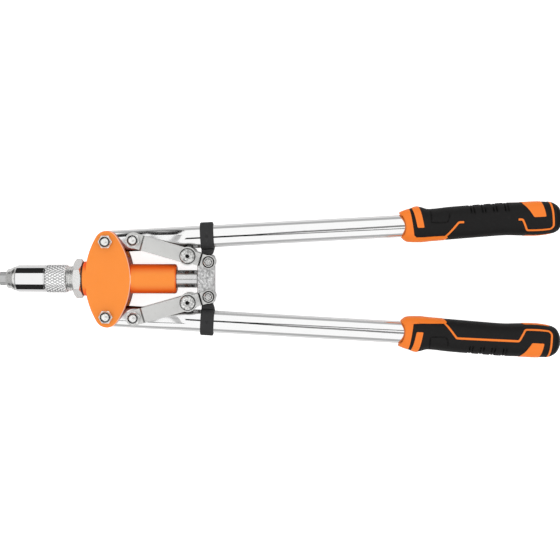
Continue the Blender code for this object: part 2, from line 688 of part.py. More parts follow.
def build_arm(name, parent, turn, chrome, bronze):
    """Tubular arm with its pivot bush; drilled for the ear bolt and the link bolt."""
    front = [-ARM_END_RADIUS * math.cos(math.radians(angle)) for angle in (12, 32, 52, 72, 90)]
    blend = [PRESSED_LENGTH + BLEND_LENGTH * step / 5 for step in range(6)]
    hollow_start = PRESSED_LENGTH + BLEND_LENGTH + TUBE_WALL
    rings = [tube_ring(s) for s in front + blend + [TUBE_LENGTH]]
    rings += [tube_ring(s, TUBE_WALL) for s in (TUBE_LENGTH, hollow_start)]
    tube = place(rings_to_solid(rings, closed=False), f"{name}_arm_tube", chrome, parent, turn=turn)
    bush_radius = BOLT_RADIUS + GAP + PIVOT_BUSH_WALL
    for s, radius in ((0, bush_radius + GAP), (CRANK_LENGTH, BOLT_RADIUS + GAP)):
        hole = [(-ARM_HALF - CUT_BEYOND, radius), (ARM_HALF + CUT_BEYOND, radius)]
        along = Vector((s, 0, 0))
        along.rotate(Euler(turn))
        drill = turned(hole, SMALL_FACETS, upright=True, bored=False)
        combine(tube, drill, "DIFFERENCE", parent, along, turn)
    bush = [(-ARM_HALF, bush_radius), (ARM_HALF, bush_radius)]
    bush += [(ARM_HALF, BOLT_RADIUS + GAP), (-ARM_HALF, BOLT_RADIUS + GAP)]
    place(turned(bush, SMALL_FACETS, upright=True), f"{name}_pivot_bush", bronze, parent)


def to_arm(x, y):
    """Turns a place in the tool's plane into one along and across the upper arm."""
    y -= PIVOT_Y
    along = x * math.cos(ARM_SPLAY) + y * math.sin(ARM_SPLAY)
    across = y * math.cos(ARM_SPLAY) - x * math.sin(ARM_SPLAY)
    return along, across


def build_bumper(name, parent, turn, rubber):
    """Rubber band round an arm, with a nub that meets the yoke's end when the arms close."""
    half_width = TUBE_WIDTH / 2 + GAP
    half_height = TUBE_THICKNESS / 2 + GAP
    end = BUMPER_START + BUMPER_LENGTH
    rings = []
    for s, wall in ((BUMPER_START, BUMPER_WALL), (end, BUMPER_WALL), (end, 0), (BUMPER_START, 0)):
        section = oval(half_width + wall, half_width + wall, half_height + wall, 2.3)
        rings.append([(s, y, z) for y, z in section])
    band = place(rings_to_solid(rings, closed=True), f"{name}_arm_bumper", rubber, parent, turn=turn)
    root = -half_width - BUMPER_WALL / 2
    tip_y = YOKE_HALF_WIDTH + GAP
    tip_front = to_arm(YOKE_FRONT_X + BUMPER_NUB_FRONT_SETBACK, tip_y)
    tip_rear = to_arm(YOKE_REAR_X - BUMPER_NUB_REAR_SETBACK, tip_y)
    outline = [(BUMPER_START + GAP, root), (end - GAP, root), tip_rear, tip_front]
    nub = prism(outline, -BUMPER_NUB_HALF_HEIGHT, BUMPER_NUB_HALF_HEIGHT)
    combine(band, nub, "UNION", parent, turn=turn)


def smooth_step(rows, at, column):
    """Reads a column of a table between its rows, with eased slopes."""
    if at <= rows[0][0]:
        return rows[0][column]
    for index in range(len(rows) - 1):
        low, high = rows[index], rows[index + 1]
        if at <= high[0]:
            before = rows[max(index - 1, 0)]
            after = rows[min(index + 2, len(rows) - 1)]
            width = high[0] - low[0]
            slope_low = (high[column] - before[column]) / (high[0] - before[0])
            slope_high = (after[column] - low[column]) / (after[0] - low[0])
            t = (at - low[0]) / width
            ease = t * t * (3 - 2 * t)
            bend = t * (1 - t) ** 2 * slope_low - t * t * (1 - t) * slope_high
            return low[column] + (high[column] - low[column]) * ease + bend * width
    return rows[-1][column]


def grip_ring(distance, inset, scoop=0.0, slant=0.0):
    """Section of the grip at a distance from its mouth, drawn in by an inset.

    Scoop pushes the middle of both faces back, slant tips the ring along the arm.
    """
    half_out = GRIP_HALF_WIDTH + smooth_step(GRIP_SWELL, distance, 1) - inset
    half_in = GRIP_HALF_WIDTH + smooth_step(GRIP_SWELL, distance, 2) - inset
    half_height = GRIP_HALF_HEIGHT + smooth_step(GRIP_SWELL, distance, 3) - inset
    ring = []
    for y, z in oval(half_out, half_in, half_height, 2.35):
        share = y / (half_out if y > 0 else half_in)
        shift = scoop * (1 - share ** 2) - slant * share / 2
        ring.append((GRIP_START + distance + shift, y, z))
    return ring


def between(start, end, steps):
    """Evenly spaced distances from start to end."""
    return [start + (end - start) * step / steps for step in range(steps + 1)]


def bore_ring(distance, clearance):
    """Section of the hole that takes the arm's tube."""
    half_width = TUBE_WIDTH / 2 + clearance
    half_height = TUBE_THICKNESS / 2 + clearance
    return [(GRIP_START + distance, y, z) for y, z in oval(half_width, half_width, half_height, 2.3)]


def build_grip(name, parent, turn, orange, black):
    """Grip: hard core with its collar and rim, soft cover over it, and the end cap."""
    cap_start = GRIP_LENGTH - END_CAP_LENGTH
    rim_end = cap_start - GAP
    rim_start = rim_end - RIM_LENGTH
    cover_start = COLLAR_LENGTH + GAP
    cover_end = rim_start - GAP
    waist = between(cover_start + COLLAR_SLANT, cover_end - GAP, 12)
    core = [grip_ring(0, 0, scoop=GRIP_MOUTH_SCOOP)]
    collar = between(GRIP_MOUTH_SCOOP + 2 * GAP, COLLAR_LENGTH - COLLAR_SLANT, 1)
    core += [grip_ring(distance, 0) for distance in collar]
    core += [grip_ring(COLLAR_LENGTH, 0, slant=COLLAR_SLANT)]
    core += [grip_ring(COLLAR_LENGTH, COVER_THICKNESS, slant=COLLAR_SLANT)]
    core += [grip_ring(distance, COVER_THICKNESS) for distance in waist[:-1]]
    core += [grip_ring(rim_start, COVER_THICKNESS), grip_ring(rim_start, 0), grip_ring(rim_end, 0)]
    core += [bore_ring(rim_end, GAP), bore_ring(GRIP_MOUTH_SCOOP, GAP)]
    place(rings_to_solid(core, closed=True), f"{name}_grip_core", orange, parent, turn=turn)
    cover = [grip_ring(cover_start, 0, slant=COLLAR_SLANT)]
    cover += [grip_ring(distance, 0) for distance in waist]
    cover += [grip_ring(cover_end, COVER_THICKNESS - GAP)]
    cover += [grip_ring(distance, COVER_THICKNESS - GAP) for distance in reversed(waist[:-1])]
    cover += [grip_ring(cover_start, COVER_THICKNESS - GAP, slant=COLLAR_SLANT)]
    place(rings_to_solid(cover, closed=True), f"{name}_grip_cover", black, parent, turn=turn)
    inside_tube = -TUBE_WALL - GAP
    dome = between(cap_start, GRIP_LENGTH, 4)
    cap = [bore_ring(distance, inside_tube) for distance in (GRIP_ON_TUBE - END_PLUG_LENGTH, cap_start)]
    cap += [grip_ring(distance, 0) for distance in dome]
    place(rings_to_solid(cap, closed=False), f"{name}_grip_end_cap", black, parent, turn=turn)


def link_outline():
    """Outline of a link plate along X, from the arm's pivot to the yoke's."""
    boss_x = LINK_LENGTH - LINK_SCREW_BACK
    front_join = math.degrees(math.asin(LINK_HALF_WIDTH / LINK_END_RADIUS))
    boss_join = math.degrees(math.asin(LINK_HALF_WIDTH / LINK_BOSS_RADIUS))
    neck_join = math.degrees(math.asin(LINK_NECK_HALF_WIDTH / LINK_BOSS_RADIUS))
    tip_join = math.degrees(math.asin(LINK_NECK_HALF_WIDTH / LINK_TIP_RADIUS))
    half = arc((LINK_LENGTH, 0), LINK_TIP_RADIUS, 0, 180 - tip_join, 6)
    half += arc((boss_x, 0), LINK_BOSS_RADIUS, neck_join, 180 - boss_join, 5)
    half += arc((0, 0), LINK_END_RADIUS, front_join, 180, 7)
    return half + [(x, -y) for x, y in reversed(half[1:-1])]


def link_height(x):
    """Height of a link plate's inner face: on the arm, over the tube, on the yoke."""
    front = min(max((x - LINK_FRONT_STEP_AT + LINK_STEP) / LINK_STEP, 0), 1)
    rear_start = LINK_LENGTH - LINK_REAR_STEP_BACK
    rear = min(max((x - rear_start) / LINK_STEP, 0), 1)
    return LINK_FRONT_Z + (LINK_MIDDLE_Z - LINK_FRONT_Z) * front + (LINK_REAR_Z - LINK_MIDDLE_Z) * rear


def link_plate():
    """A link plate above the middle plane, bent at its two steps."""
    shape = prism(link_outline(), 0, LINK_THICKNESS)
    rear_start = LINK_LENGTH - LINK_REAR_STEP_BACK
    steps = (LINK_FRONT_STEP_AT - LINK_STEP, LINK_FRONT_STEP_AT, rear_start, rear_start + LINK_STEP)
    for x in steps:
        everything = shape.verts[:] + shape.edges[:] + shape.faces[:]
        bmesh.ops.bisect_plane(shape, geom=everything, plane_co=(x, 0, 0), plane_no=(1, 0, 0))
    for vertex in shape.verts:
        vertex.co.z += link_height(vertex.co.x)
    return shape


def build_link(name, pivot, side, zinc, steel):
    """One link: a plate above and one below, with the screw and spacer that tie them."""
    boss_x = LINK_LENGTH - LINK_SCREW_BACK
    holes = ((0, BOLT_RADIUS), (boss_x, TIE_SCREW_RADIUS), (LINK_LENGTH, YOKE_BOLT_RADIUS))
    reach = LINK_MIDDLE_Z + LINK_THICKNESS + CUT_BEYOND
    for face, flip in (("top", 0), ("bottom", math.pi)):
        turn = (flip, 0, side * LINK_REST_SLOPE)
        plate = place(link_plate(), f"{name}_link_{face}", zinc, pivot, turn=turn)
        for x, radius in holes:
            along = Vector((x, 0, 0))
            along.rotate(Euler(turn))
            hole = [(-reach, radius + GAP), (reach, radius + GAP)]
            drill = turned(hole, SMALL_FACETS, upright=True, bored=False)
            combine(plate, drill, "DIFFERENCE", pivot, along)
    tie = Vector((boss_x, 0, 0))
    tie.rotate(Euler((0, 0, side * LINK_REST_SLOPE)))
    half_gap = LINK_MIDDLE_Z - GAP
    spacer = [(-half_gap, SPACER_RADIUS), (half_gap, SPACER_RADIUS)]
    spacer += [(half_gap, TIE_SCREW_RADIUS + GAP), (-half_gap, TIE_SCREW_RADIUS + GAP)]
    place(turned(spacer, SMALL_FACETS, upright=True), f"{name}_link_spacer", steel, pivot, tie)
    build_tie_screw(name, pivot, tie, steel)


def build_tie_screw(name, pivot, location, steel):
    """Round-headed socket screw through a link's plates and spacer, and its nut."""
    seat = LINK_MIDDLE_Z + LINK_THICKNESS + GAP
    nut_bottom = -seat - TIE_NUT_HEIGHT
    edge = TIE_EDGE
    profile = [
        (nut_bottom - edge, TIE_SCREW_RADIUS), (seat, TIE_SCREW_RADIUS), (seat, TIE_HEAD_RADIUS),
        (seat + TIE_HEAD_HEIGHT - edge, TIE_HEAD_RADIUS), (seat + TIE_HEAD_HEIGHT, TIE_HEAD_RADIUS - edge),
    ]
    shape = turned(profile, SMALL_FACETS, upright=True, bored=False)
    screw = place(shape, f"{name}_link_screw", steel, pivot, location)
    top = seat + TIE_HEAD_HEIGHT
    socket = prism(hexagon(TIE_SOCKET_FLATS), top - TIE_SOCKET_DEPTH, top + edge)
    combine(screw, socket, "DIFFERENCE", pivot, location)
    nut = chamfered_hex(TIE_NUT_FLATS, nut_bottom, -seat, (HEX_CHAMFER / 2, 0), TIE_SCREW_RADIUS + GAP)
    place(nut, f"{name}_link_screw_nut", steel, pivot, location)


def build_bolt(name, parent, location, turn, seat, steel):
    """Hexagon bolt with its head below, its nut above and a domed end."""
    head_bottom = -seat - BOLT_HEAD_HEIGHT
    nut_top = seat + NUT_HEIGHT
    shank = [
        (-seat - BOLT_HEAD_HEIGHT / 2, BOLT_RADIUS), (nut_top, BOLT_RADIUS),
        (nut_top + BOLT_END_HEIGHT / 2, BOLT_END_RADIUS + BOLT_END_HEIGHT / 3),
        (nut_top + BOLT_END_HEIGHT, BOLT_END_RADIUS - BOLT_END_HEIGHT),
    ]
    tilt = (0, 0, turn)
    head = chamfered_hex(BOLT_FLATS, head_bottom, -seat, (HEX_CHAMFER, 0))
    bolt = place(head, f"{name}_bolt", steel, parent, location, tilt)
    combine(bolt, turned(shank, SMALL_FACETS, upright=True, bored=False), "UNION", parent, location, tilt)
    place(collared_nut(seat, nut_top), f"{name}_nut", steel, parent, location, tilt)


def build_yoke_bolt(name, parent, location, steel):
    """Flanged bolt through a link's ends and the yoke, and its nut."""
    seat = LINK_REAR_Z + LINK_THICKNESS + GAP
    flange_top = seat + YOKE_BOLT_FLANGE_HEIGHT
    nut_bottom = -seat - YOKE_NUT_HEIGHT
    edge = YOKE_BOLT_EDGE
    profile = [
        (nut_bottom - edge, YOKE_BOLT_RADIUS), (seat, YOKE_BOLT_RADIUS),
        (seat, YOKE_BOLT_FLANGE_RADIUS), (flange_top - edge, YOKE_BOLT_FLANGE_RADIUS),
        (flange_top, YOKE_BOLT_FLANGE_RADIUS - edge),
    ]
    shape = turned(profile, SMALL_FACETS, upright=True, bored=False)
    bolt = place(shape, f"{name}_yoke_bolt", steel, parent, location)
    head = chamfered_hex(YOKE_BOLT_HEX_FLATS, seat + edge, seat + YOKE_BOLT_HEAD_HEIGHT, (0, edge))
    combine(bolt, head, "UNION", parent, location)
    nut = chamfered_hex(YOKE_NUT_FLATS, nut_bottom, -seat, (HEX_CHAMFER / 2, 0), YOKE_BOLT_RADIUS + GAP)
    place(nut, f"{name}_yoke_nut", steel, parent, location)


def build_side(name, side, tool, surfaces):
    """Everything of one arm and its link; side is +1 for the upper arm and -1 for the lower."""
    chrome, zinc, steel, bronze = (surfaces[key] for key in ("chrome", "zinc", "steel", "bronze"))
    ear = Vector((0, side * PIVOT_Y, 0))
    build_bolt(f"{name}_ear", tool, ear, 0, EAR_OUTER + GAP, zinc)
    arm_axis = marker(f"{name}_arm_axis", tool, ear)
    turn = (0 if side > 0 else math.pi, 0, side * ARM_SPLAY)
    build_arm(name, arm_axis, turn, chrome, bronze)
    build_bumper(name, arm_axis, turn, surfaces["rubber"])
    build_grip(name, arm_axis, turn, surfaces["orange"], surfaces["black"])
    crank = link_pivot(0)
    pivot_place = Vector((crank.x, side * crank.y, 0))
    link_axis = marker(f"{name}_link_axis", arm_axis, pivot_place - ear)
    grip_half = LINK_FRONT_Z + LINK_THICKNESS + GAP
    build_bolt(f"{name}_link", link_axis, (0, 0, 0), side * LINK_REST_SLOPE, grip_half, zinc)
    build_link(name, link_axis, side, zinc, steel)
    pin = Vector((YOKE_PIN_X, side * YOKE_PIN_Y, 0))
    build_yoke_bolt(name, link_axis, pin - pivot_place, steel)


def build_tool():
    """The whole tool, its moving groups under empties on their joints' axes."""
    for leftover in list(bpy.data.objects):
        bpy.data.objects.remove(leftover)
    surfaces = {
        "paint": material("orange_paint", (1.0, 0.29, 0.05), 0.35),
        "chrome": material("chrome", (0.80, 0.80, 0.80), 0.08, 1.0),
        "zinc": material("zinc_plate", (0.62, 0.62, 0.61), 0.30, 1.0),
        "steel": material("bare_steel", (0.48, 0.48, 0.47), 0.40, 1.0),
        "bronze": material("bronze", (0.55, 0.38, 0.20), 0.45, 1.0),
        "rubber": material("black_rubber", (0.02, 0.02, 0.02), 0.60),
        "orange": material("orange_plastic", (1.0, 0.27, 0.03), 0.40),
        "black": material("black_plastic", (0.02, 0.02, 0.02), 0.55),
    }
    tool = marker("tool", None, (-(TOOL_FRONT + TOOL_REAR) / 2, 0, AXIS_HEIGHT))
    build_head(tool, surfaces["paint"], surfaces["bronze"])
    build_stem(tool, surfaces["zinc"])
    build_locknut(marker("locknut_axis", tool), surfaces["zinc"])
    sleeve_axis = marker("nose_sleeve_axis", tool)
    build_sleeve(sleeve_axis, surfaces["chrome"])
    build_nosepiece(marker("nosepiece_axis", sleeve_axis), surfaces["zinc"])
    drawbar = marker("drawbar_axis", tool)
    build_drawbar(drawbar, surfaces["chrome"], surfaces["steel"])
    jaw_groups = [marker(f"jaw_{number + 1}_axis", drawbar) for number in range(JAW_COUNT)]
    build_jaws(jaw_groups + [marker("jaw_pusher_axis", drawbar)], drawbar, surfaces["steel"])
    build_side("upper", 1, tool, surfaces)
    build_side("lower", -1, tool, surfaces)


build_tool()
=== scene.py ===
import bisect
import math

import bmesh
import bpy
from mathutils import Euler, Matrix, Vector


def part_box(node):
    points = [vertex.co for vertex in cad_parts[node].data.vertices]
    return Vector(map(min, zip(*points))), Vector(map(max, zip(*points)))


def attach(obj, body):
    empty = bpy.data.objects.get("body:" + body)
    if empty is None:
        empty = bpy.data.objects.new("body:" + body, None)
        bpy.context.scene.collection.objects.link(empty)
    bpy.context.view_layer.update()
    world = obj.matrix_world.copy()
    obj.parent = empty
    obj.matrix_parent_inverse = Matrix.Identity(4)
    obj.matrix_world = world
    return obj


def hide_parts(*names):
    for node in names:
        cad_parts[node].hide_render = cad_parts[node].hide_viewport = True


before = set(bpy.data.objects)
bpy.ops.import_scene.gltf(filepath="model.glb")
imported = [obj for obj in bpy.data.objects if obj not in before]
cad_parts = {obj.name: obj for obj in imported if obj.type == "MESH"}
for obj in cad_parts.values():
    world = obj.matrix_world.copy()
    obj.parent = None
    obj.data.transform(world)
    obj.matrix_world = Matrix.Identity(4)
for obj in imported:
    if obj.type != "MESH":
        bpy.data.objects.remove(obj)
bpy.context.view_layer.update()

# Place of the tool's own axes: the line through the ear pivots and the middle plane
ear_low, ear_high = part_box("upper_ear_nut")
casting_low, casting_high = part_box("head_casting")
TOOL = Vector(((ear_low.x + ear_high.x) / 2, 0, (casting_low.z + casting_high.z) / 2))

# Sizes shared with the solids, in metres
PIVOT_Y = 0.0370
EAR_OUTER = 0.0155
ARM_SPLAY = math.radians(3.15)
CRANK_LENGTH = 0.0264
YOKE_PIN = Vector((0.1007, 0.0172, 0))
CRANK = Vector((CRANK_LENGTH * math.cos(ARM_SPLAY), PIVOT_Y + CRANK_LENGTH * math.sin(ARM_SPLAY), 0))
LINK_LENGTH = (YOKE_PIN - CRANK).length
LINK_SLOPE = -math.asin((CRANK.y - YOKE_PIN.y) / LINK_LENGTH)
GAP = 0.0003
SIDES = (("upper", 1), ("lower", -1))


# Sockets of a mix node when it mixes colours
COLOR_A, COLOR_B, COLOR_OUT = 6, 7, 2


class Surface:
    """A material's node tree with short calls to add to it."""

    def __init__(self, name, color, roughness, metallic=0.0):
        self.material = bpy.data.materials.new(name)
        self.material.use_nodes = True
        self.tree = self.material.node_tree
        self.shader = self.tree.nodes["Principled BSDF"]
        self.set("Base Color", (*color, 1.0))
        self.set("Roughness", roughness)
        self.set("Metallic", metallic)
        self.color = color
        coordinates = self.add("ShaderNodeTexCoord")
        self.place = coordinates.outputs["Object"]
        self.normal = coordinates.outputs["Normal"]

    def set(self, socket, value):
        self.shader.inputs[socket].default_value = value

    def add(self, kind, inputs=None, **settings):
        """Adds a node with its settings, and sets or links its inputs by name or number."""
        made = self.tree.nodes.new(kind)
        for key, value in settings.items():
            setattr(made, key, value)
        for key, value in (inputs or {}).items():
            if isinstance(value, bpy.types.NodeSocket):
                self.tree.links.new(value, made.inputs[key])
            else:
                made.inputs[key].default_value = value
        return made

    def link(self, output, socket):
        self.tree.links.new(output, self.shader.inputs[socket])

    def split(self, vector):
        """X, Y and Z of a vector."""
        return self.add("ShaderNodeSeparateXYZ", {"Vector": vector}).outputs

    def noise(self, scale, detail=2.0, rough=0.5, stretch=None):
        """Noise over the piece; stretch scales its coordinates along each axis."""
        where = self.place
        if stretch:
            where = self.add("ShaderNodeMapping", {"Vector": where, "Scale": stretch}).outputs["Vector"]
        inputs = {"Vector": where, "Scale": scale, "Detail": detail, "Roughness": rough}
        return self.add("ShaderNodeTexNoise", inputs).outputs["Fac"]

    def cells(self, scale):
        return self.add("ShaderNodeTexVoronoi", {"Vector": self.place, "Scale": scale}).outputs["Distance"]

    def span(self, value, low, high, to_low=0.0, to_high=1.0):
        """Maps a value from one range to another, held at the ends."""
        inputs = {"Value": value, "From Min": low, "From Max": high, "To Min": to_low, "To Max": to_high}
        return self.add("ShaderNodeMapRange", inputs).outputs["Result"]

    def math(self, operation, first, second=0.0):
        return self.add("ShaderNodeMath", {0: first, 1: second}, operation=operation).outputs[0]

    def product(self, first, *others):
        for other in others:
            first = self.math("MULTIPLY", first, other)
        return first

    def blend(self, value, first, second):
        """Goes from a colour or a colour output to a colour, by a value from 0 to 1."""
        if not isinstance(first, bpy.types.NodeSocket):
            first = (*first, 1.0)
        inputs = {"Factor": value, COLOR_A: first, COLOR_B: (*second, 1.0)}
        return self.add("ShaderNodeMix", inputs, data_type="RGBA").outputs[COLOR_OUT]

    def rough(self, value, low, high, start=0.3, end=0.7):
        """Lets the roughness follow a value between its start and its end."""
        self.link(self.span(value, start, end, low, high), "Roughness")

    def bump(self, height, depth):
        """Adds a height in metres to the normals, over any bump that is there."""
        inputs = {"Height": height, "Distance": depth}
        before = self.shader.inputs["Normal"]
        if before.is_linked:
            inputs["Normal"] = before.links[0].from_socket
        self.link(self.add("ShaderNodeBump", inputs).outputs["Normal"], "Normal")


def shade(color, factor):
    return tuple(min(channel * factor, 1.0) for channel in color)


def paint_surface():
    """Powder coat, with painted shade deeper and redder on slopes, a painted highlight on the plates' rear
    rims and painted shade on their rear walls.
    """
    made = Surface("orange_powder_coat", (1.0, 0.280, 0.034), 0.38)
    color = made.blend(made.noise(38.0, 3.0), shade(made.color, 0.96), (1.0, 0.292, 0.039))
    pits = made.span(made.cells(520.0), 0.0, 0.10, 1.0, 0.0)
    color = made.blend(made.product(pits, 0.25), color, (0.62, 0.12, 0.012))
    facing, place = made.split(made.normal), made.split(made.place)
    # Slopes painted deeper and redder: painted shade.
    steep_painted_shade = made.span(made.math("ABSOLUTE", facing["Z"]), 0.93, 0.60)
    color = made.blend(steep_painted_shade, color, (1.0, 0.125, 0.009))
    # Pale rear rims at the top edge of the plates: painted highlight.
    top = TOOL.z + EAR_OUTER
    rim = made.span(place["Z"], top - 0.0012, top - 0.0008)
    slanted = made.span(facing["Z"], 0.93, 0.85)
    rearward = made.span(facing["X"], 0.10, 0.35, 0.0, 0.75)
    color = made.blend(made.product(rim, slanted, rearward), color, (1.0, 0.78, 0.60))
    # Dark rear walls below the top plate: painted shade.
    below = made.span(place["Z"], TOOL.z + 0.0135, TOOL.z + 0.0110, 0.0, 0.80)
    rear_wall_painted_shade = made.span(facing["X"], 0.55, 0.80)
    plates = made.span(place["X"], TOOL.x + 0.032, TOOL.x + 0.030)
    color = made.blend(made.product(below, rear_wall_painted_shade, plates), color, (0.30, 0.022, 0.006))
    made.link(color, "Base Color")
    made.rough(made.noise(160.0, 2.0), 0.32, 0.46)
    made.set("Specular IOR Level", 0.14)
    made.set("Coat Weight", 0.04)
    made.set("Coat Roughness", 0.15)
    made.bump(made.noise(900.0, 2.0), 0.00006)
    made.bump(made.noise(160.0, 1.0), 0.00010)
    return made.material


def chrome_surface(name, base, rough_low, rough_high, stretch, painted_shade_inside=False):
    """Bright plating with fine streaks along the piece and a little handling haze.

    With the last argument set, painted shade darkens the edges beside the head that face the tool's middle.
    """
    made = Surface(name, base, rough_low, 1.0)
    haze = made.noise(55.0, 4.0, 0.6)
    streaks = made.noise(420.0, 3.0, 0.6, stretch)
    color = made.blend(haze, shade(base, 0.965), shade(base, 1.02))
    if painted_shade_inside:
        # Dark inner edges of the arms beside the head: painted shade.
        place, facing = made.split(made.place), made.split(made.normal)
        edge = made.span(made.product(place["Y"], facing["Y"]), -0.010, -0.022)
        beside = made.span(place["X"], TOOL.x + 0.085, TOOL.x + 0.078)
        color = made.blend(made.product(edge, beside), color, (0.03, 0.03, 0.03))
    made.link(color, "Base Color")
    rough = made.span(haze, 0.35, 0.70, rough_low, rough_high)
    scratches = made.span(streaks, 0.62, 0.72, 0.0, 0.05)
    made.link(made.math("ADD", rough, scratches), "Roughness")
    made.bump(streaks, 0.000006)
    made.bump(made.noise(70.0, 2.0, 0.5, (0.25, 1.0, 1.0)), 0.00002)
    return made.material


def satin_surface(name, base, roughness, grain, depth):
    """Zinc plate or steel with a soft grain."""
    made = Surface(name, base, roughness, 1.0)
    fine = made.noise(grain, 3.0, 0.65)
    color = made.blend(made.noise(90.0, 4.0, 0.6), shade(base, 0.90), shade(base, 1.07))
    spots = made.span(made.noise(700.0, 2.0), 0.66, 0.74, 0.0, 0.35)
    made.link(made.blend(spots, color, shade(base, 0.55)), "Base Color")
    made.rough(fine, roughness - 0.06, roughness + 0.08)
    made.bump(fine, depth)
    return made.material


def grainy_surface(name, base, roughness, scale, contrast):
    """Rough cast or punched steel whose grain can be seen."""
    made = Surface(name, base, roughness, 1.0)
    grain = made.noise(scale, 3.0, 0.7)
    color = made.blend(made.span(grain, 0.36, 0.64), shade(base, 1 - contrast), shade(base, 1 + contrast))
    worn = made.span(made.noise(120.0, 2.0), 0.55, 0.75, 0.0, 0.4)
    made.link(made.blend(worn, color, shade(base, 1.15)), "Base Color")
    made.rough(grain, roughness - 0.08, roughness + 0.10, 0.35, 0.65)
    made.bump(grain, 0.00008)
    return made.material


def rubber_surface(name, base, roughness, grain, depth):
    """Moulded rubber or soft plastic with a fine matt texture and faint dust."""
    made = Surface(name, base, roughness)
    dust = made.span(made.noise(300.0, 4.0, 0.7), 0.52, 0.80, 0.0, 0.5)
    made.link(made.blend(dust, base, shade(base, 1.9)), "Base Color")
    made.rough(made.noise(120.0, 3.0), roughness - 0.05, roughness + 0.07)
    made.set("Specular IOR Level", 0.12)
    made.bump(made.cells(grain), depth)
    return made.material


def plastic_surface():
    """Orange moulding of the grips, a little cloudy."""
    made = Surface("orange_moulding", (0.96, 0.215, 0.014), 0.42)
    color = made.blend(made.noise(60.0, 3.0), shade(made.color, 0.96), (1.0, 0.235, 0.026))
    made.link(color, "Base Color")
    made.rough(made.noise(200.0, 2.0), 0.36, 0.50)
    made.set("Specular IOR Level", 0.14)
    made.bump(made.noise(1500.0, 2.0), 0.00004)
    return made.material


def knurl_surface(teeth, slant):
    """Knurled plating with painted shade in the grooves, whose helices run at both slants."""
    made = Surface("knurled_chrome", (0.97, 0.97, 0.97), 0.20, 1.0)
    place = made.split(made.place)
    angle = made.math("ARCTAN2", made.math("SUBTRACT", place["Z"], TOOL.z), place["Y"])
    round_it = made.product(angle, teeth / math.tau)
    along = made.product(made.math("SUBTRACT", place["X"], TOOL.x + KNURL_FRONT), slant)
    grooves = []
    for operation in ("ADD", "SUBTRACT"):
        phase = made.math("FRACT", made.math(operation, round_it, along))
        grooves.append(made.math("ABSOLUTE", made.math("SUBTRACT", phase, 0.5)))
    # Grooves darkened: painted shade in the knurl's recesses.
    sunk = made.span(made.math("MAXIMUM", *grooves), 0.30, 0.46)
    light = made.blend(made.noise(220.0, 3.0), shade(made.color, 0.92), made.color)
    made.link(made.blend(sunk, light, (0.56, 0.56, 0.56)), "Base Color")
    made.rough(made.noise(900.0, 2.0), 0.15, 0.26)
    return made.material


PAINT = paint_surface()
CHROME = chrome_surface("polished_chrome", (0.77, 0.77, 0.77), 0.035, 0.075, (0.04, 1.0, 1.0), True)
SLEEVE_CHROME = chrome_surface("mirror_chrome", (0.72, 0.72, 0.72), 0.02, 0.05, (1.0, 0.3, 0.3))
ZINC = satin_surface("zinc_plate", (0.74, 0.74, 0.73), 0.23, 1100.0, 0.000010)
PALE_ZINC = satin_surface("pale_zinc", (0.66, 0.66, 0.65), 0.24, 1000.0, 0.000010)
LINK_ZINC = satin_surface("link_zinc", (0.54, 0.54, 0.53), 0.34, 900.0, 0.000016)
NOSE_STEEL = satin_surface("nose_steel", (0.44, 0.44, 0.44), 0.40, 1300.0, 0.000008)
CAST = grainy_surface("yoke_cast_steel", (0.50, 0.50, 0.50), 0.40, 420.0, 0.50)
STEEL = satin_surface("bare_steel", (0.48, 0.48, 0.47), 0.36, 1000.0, 0.00001)
SCREW_STEEL = grainy_surface("screw_steel", (0.54, 0.54, 0.53), 0.34, 450.0, 0.60)
ROD_STEEL = satin_surface("rod_steel", (0.58, 0.58, 0.58), 0.13, 600.0, 0.00001)
BRONZE = satin_surface("bronze", (0.55, 0.38, 0.20), 0.40, 900.0, 0.00001)
RUBBER = rubber_surface("bumper_rubber", (0.030, 0.030, 0.031), 0.62, 900.0, 0.00005)
SOFT = rubber_surface("soft_grip", (0.0085, 0.0080, 0.0080), 0.56, 1400.0, 0.00003)
HARD = rubber_surface("black_moulding", (0.0050, 0.0042, 0.0040), 0.45, 1800.0, 0.00002)
# Black for painted shade in sockets, grooves and gaps between parts.
PAINTED_SHADE = rubber_surface("painted_shade_black", (0.0040, 0.0040, 0.0040), 0.60, 1500.0, 0.00002)
ORANGE = plastic_surface()


# Mesh building

# Radius that closes a turned profile on its axis
POINT = 0.0001
# Angle in radians from which an edge stays sharp after pieces are combined
COMBINED_SHARP = math.radians(40)
CORNER_STEPS = 4


def rings_to_solid(rings, closed):
    """Skins a run of equal rings of points; closed joins the last ring to the first."""
    shape = bmesh.new()
    made = [[shape.verts.new(point) for point in ring] for ring in rings]
    pairs = list(zip(made, made[1:]))
    if closed:
        pairs.append((made[-1], made[0]))
    else:
        shape.faces.new(made[0])
        shape.faces.new(made[-1])
    for first, second in pairs:
        for index in range(len(first)):
            after = (index + 1) % len(first)
            shape.faces.new((first[index], first[after], second[after], second[index]))
    return shape


def ring_at(along, spokes, upright=False):
    """Ring of (angle, radius) pairs at a distance along X, or along Z when upright."""
    across = [(radius * math.cos(angle), radius * math.sin(angle)) for angle, radius in spokes]
    return [(*point, along) if upright else (along, *point) for point in across]


def angles_round(facets, offset=0.5):
    return [math.tau * (index + offset) / facets for index in range(facets)]


def turned(profile, facets=96, upright=False, bored=True):
    """Turns a profile of (distance along the axis, radius) about X, or about Z when upright."""
    angles = angles_round(facets)
    rings = [ring_at(along, [(angle, radius) for angle in angles], upright) for along, radius in profile]
    return rings_to_solid(rings, closed=bored)


def upright_solid(profile, facets):
    """A turned solid that stands on Z."""
    return turned(profile, facets, upright=True, bored=False)


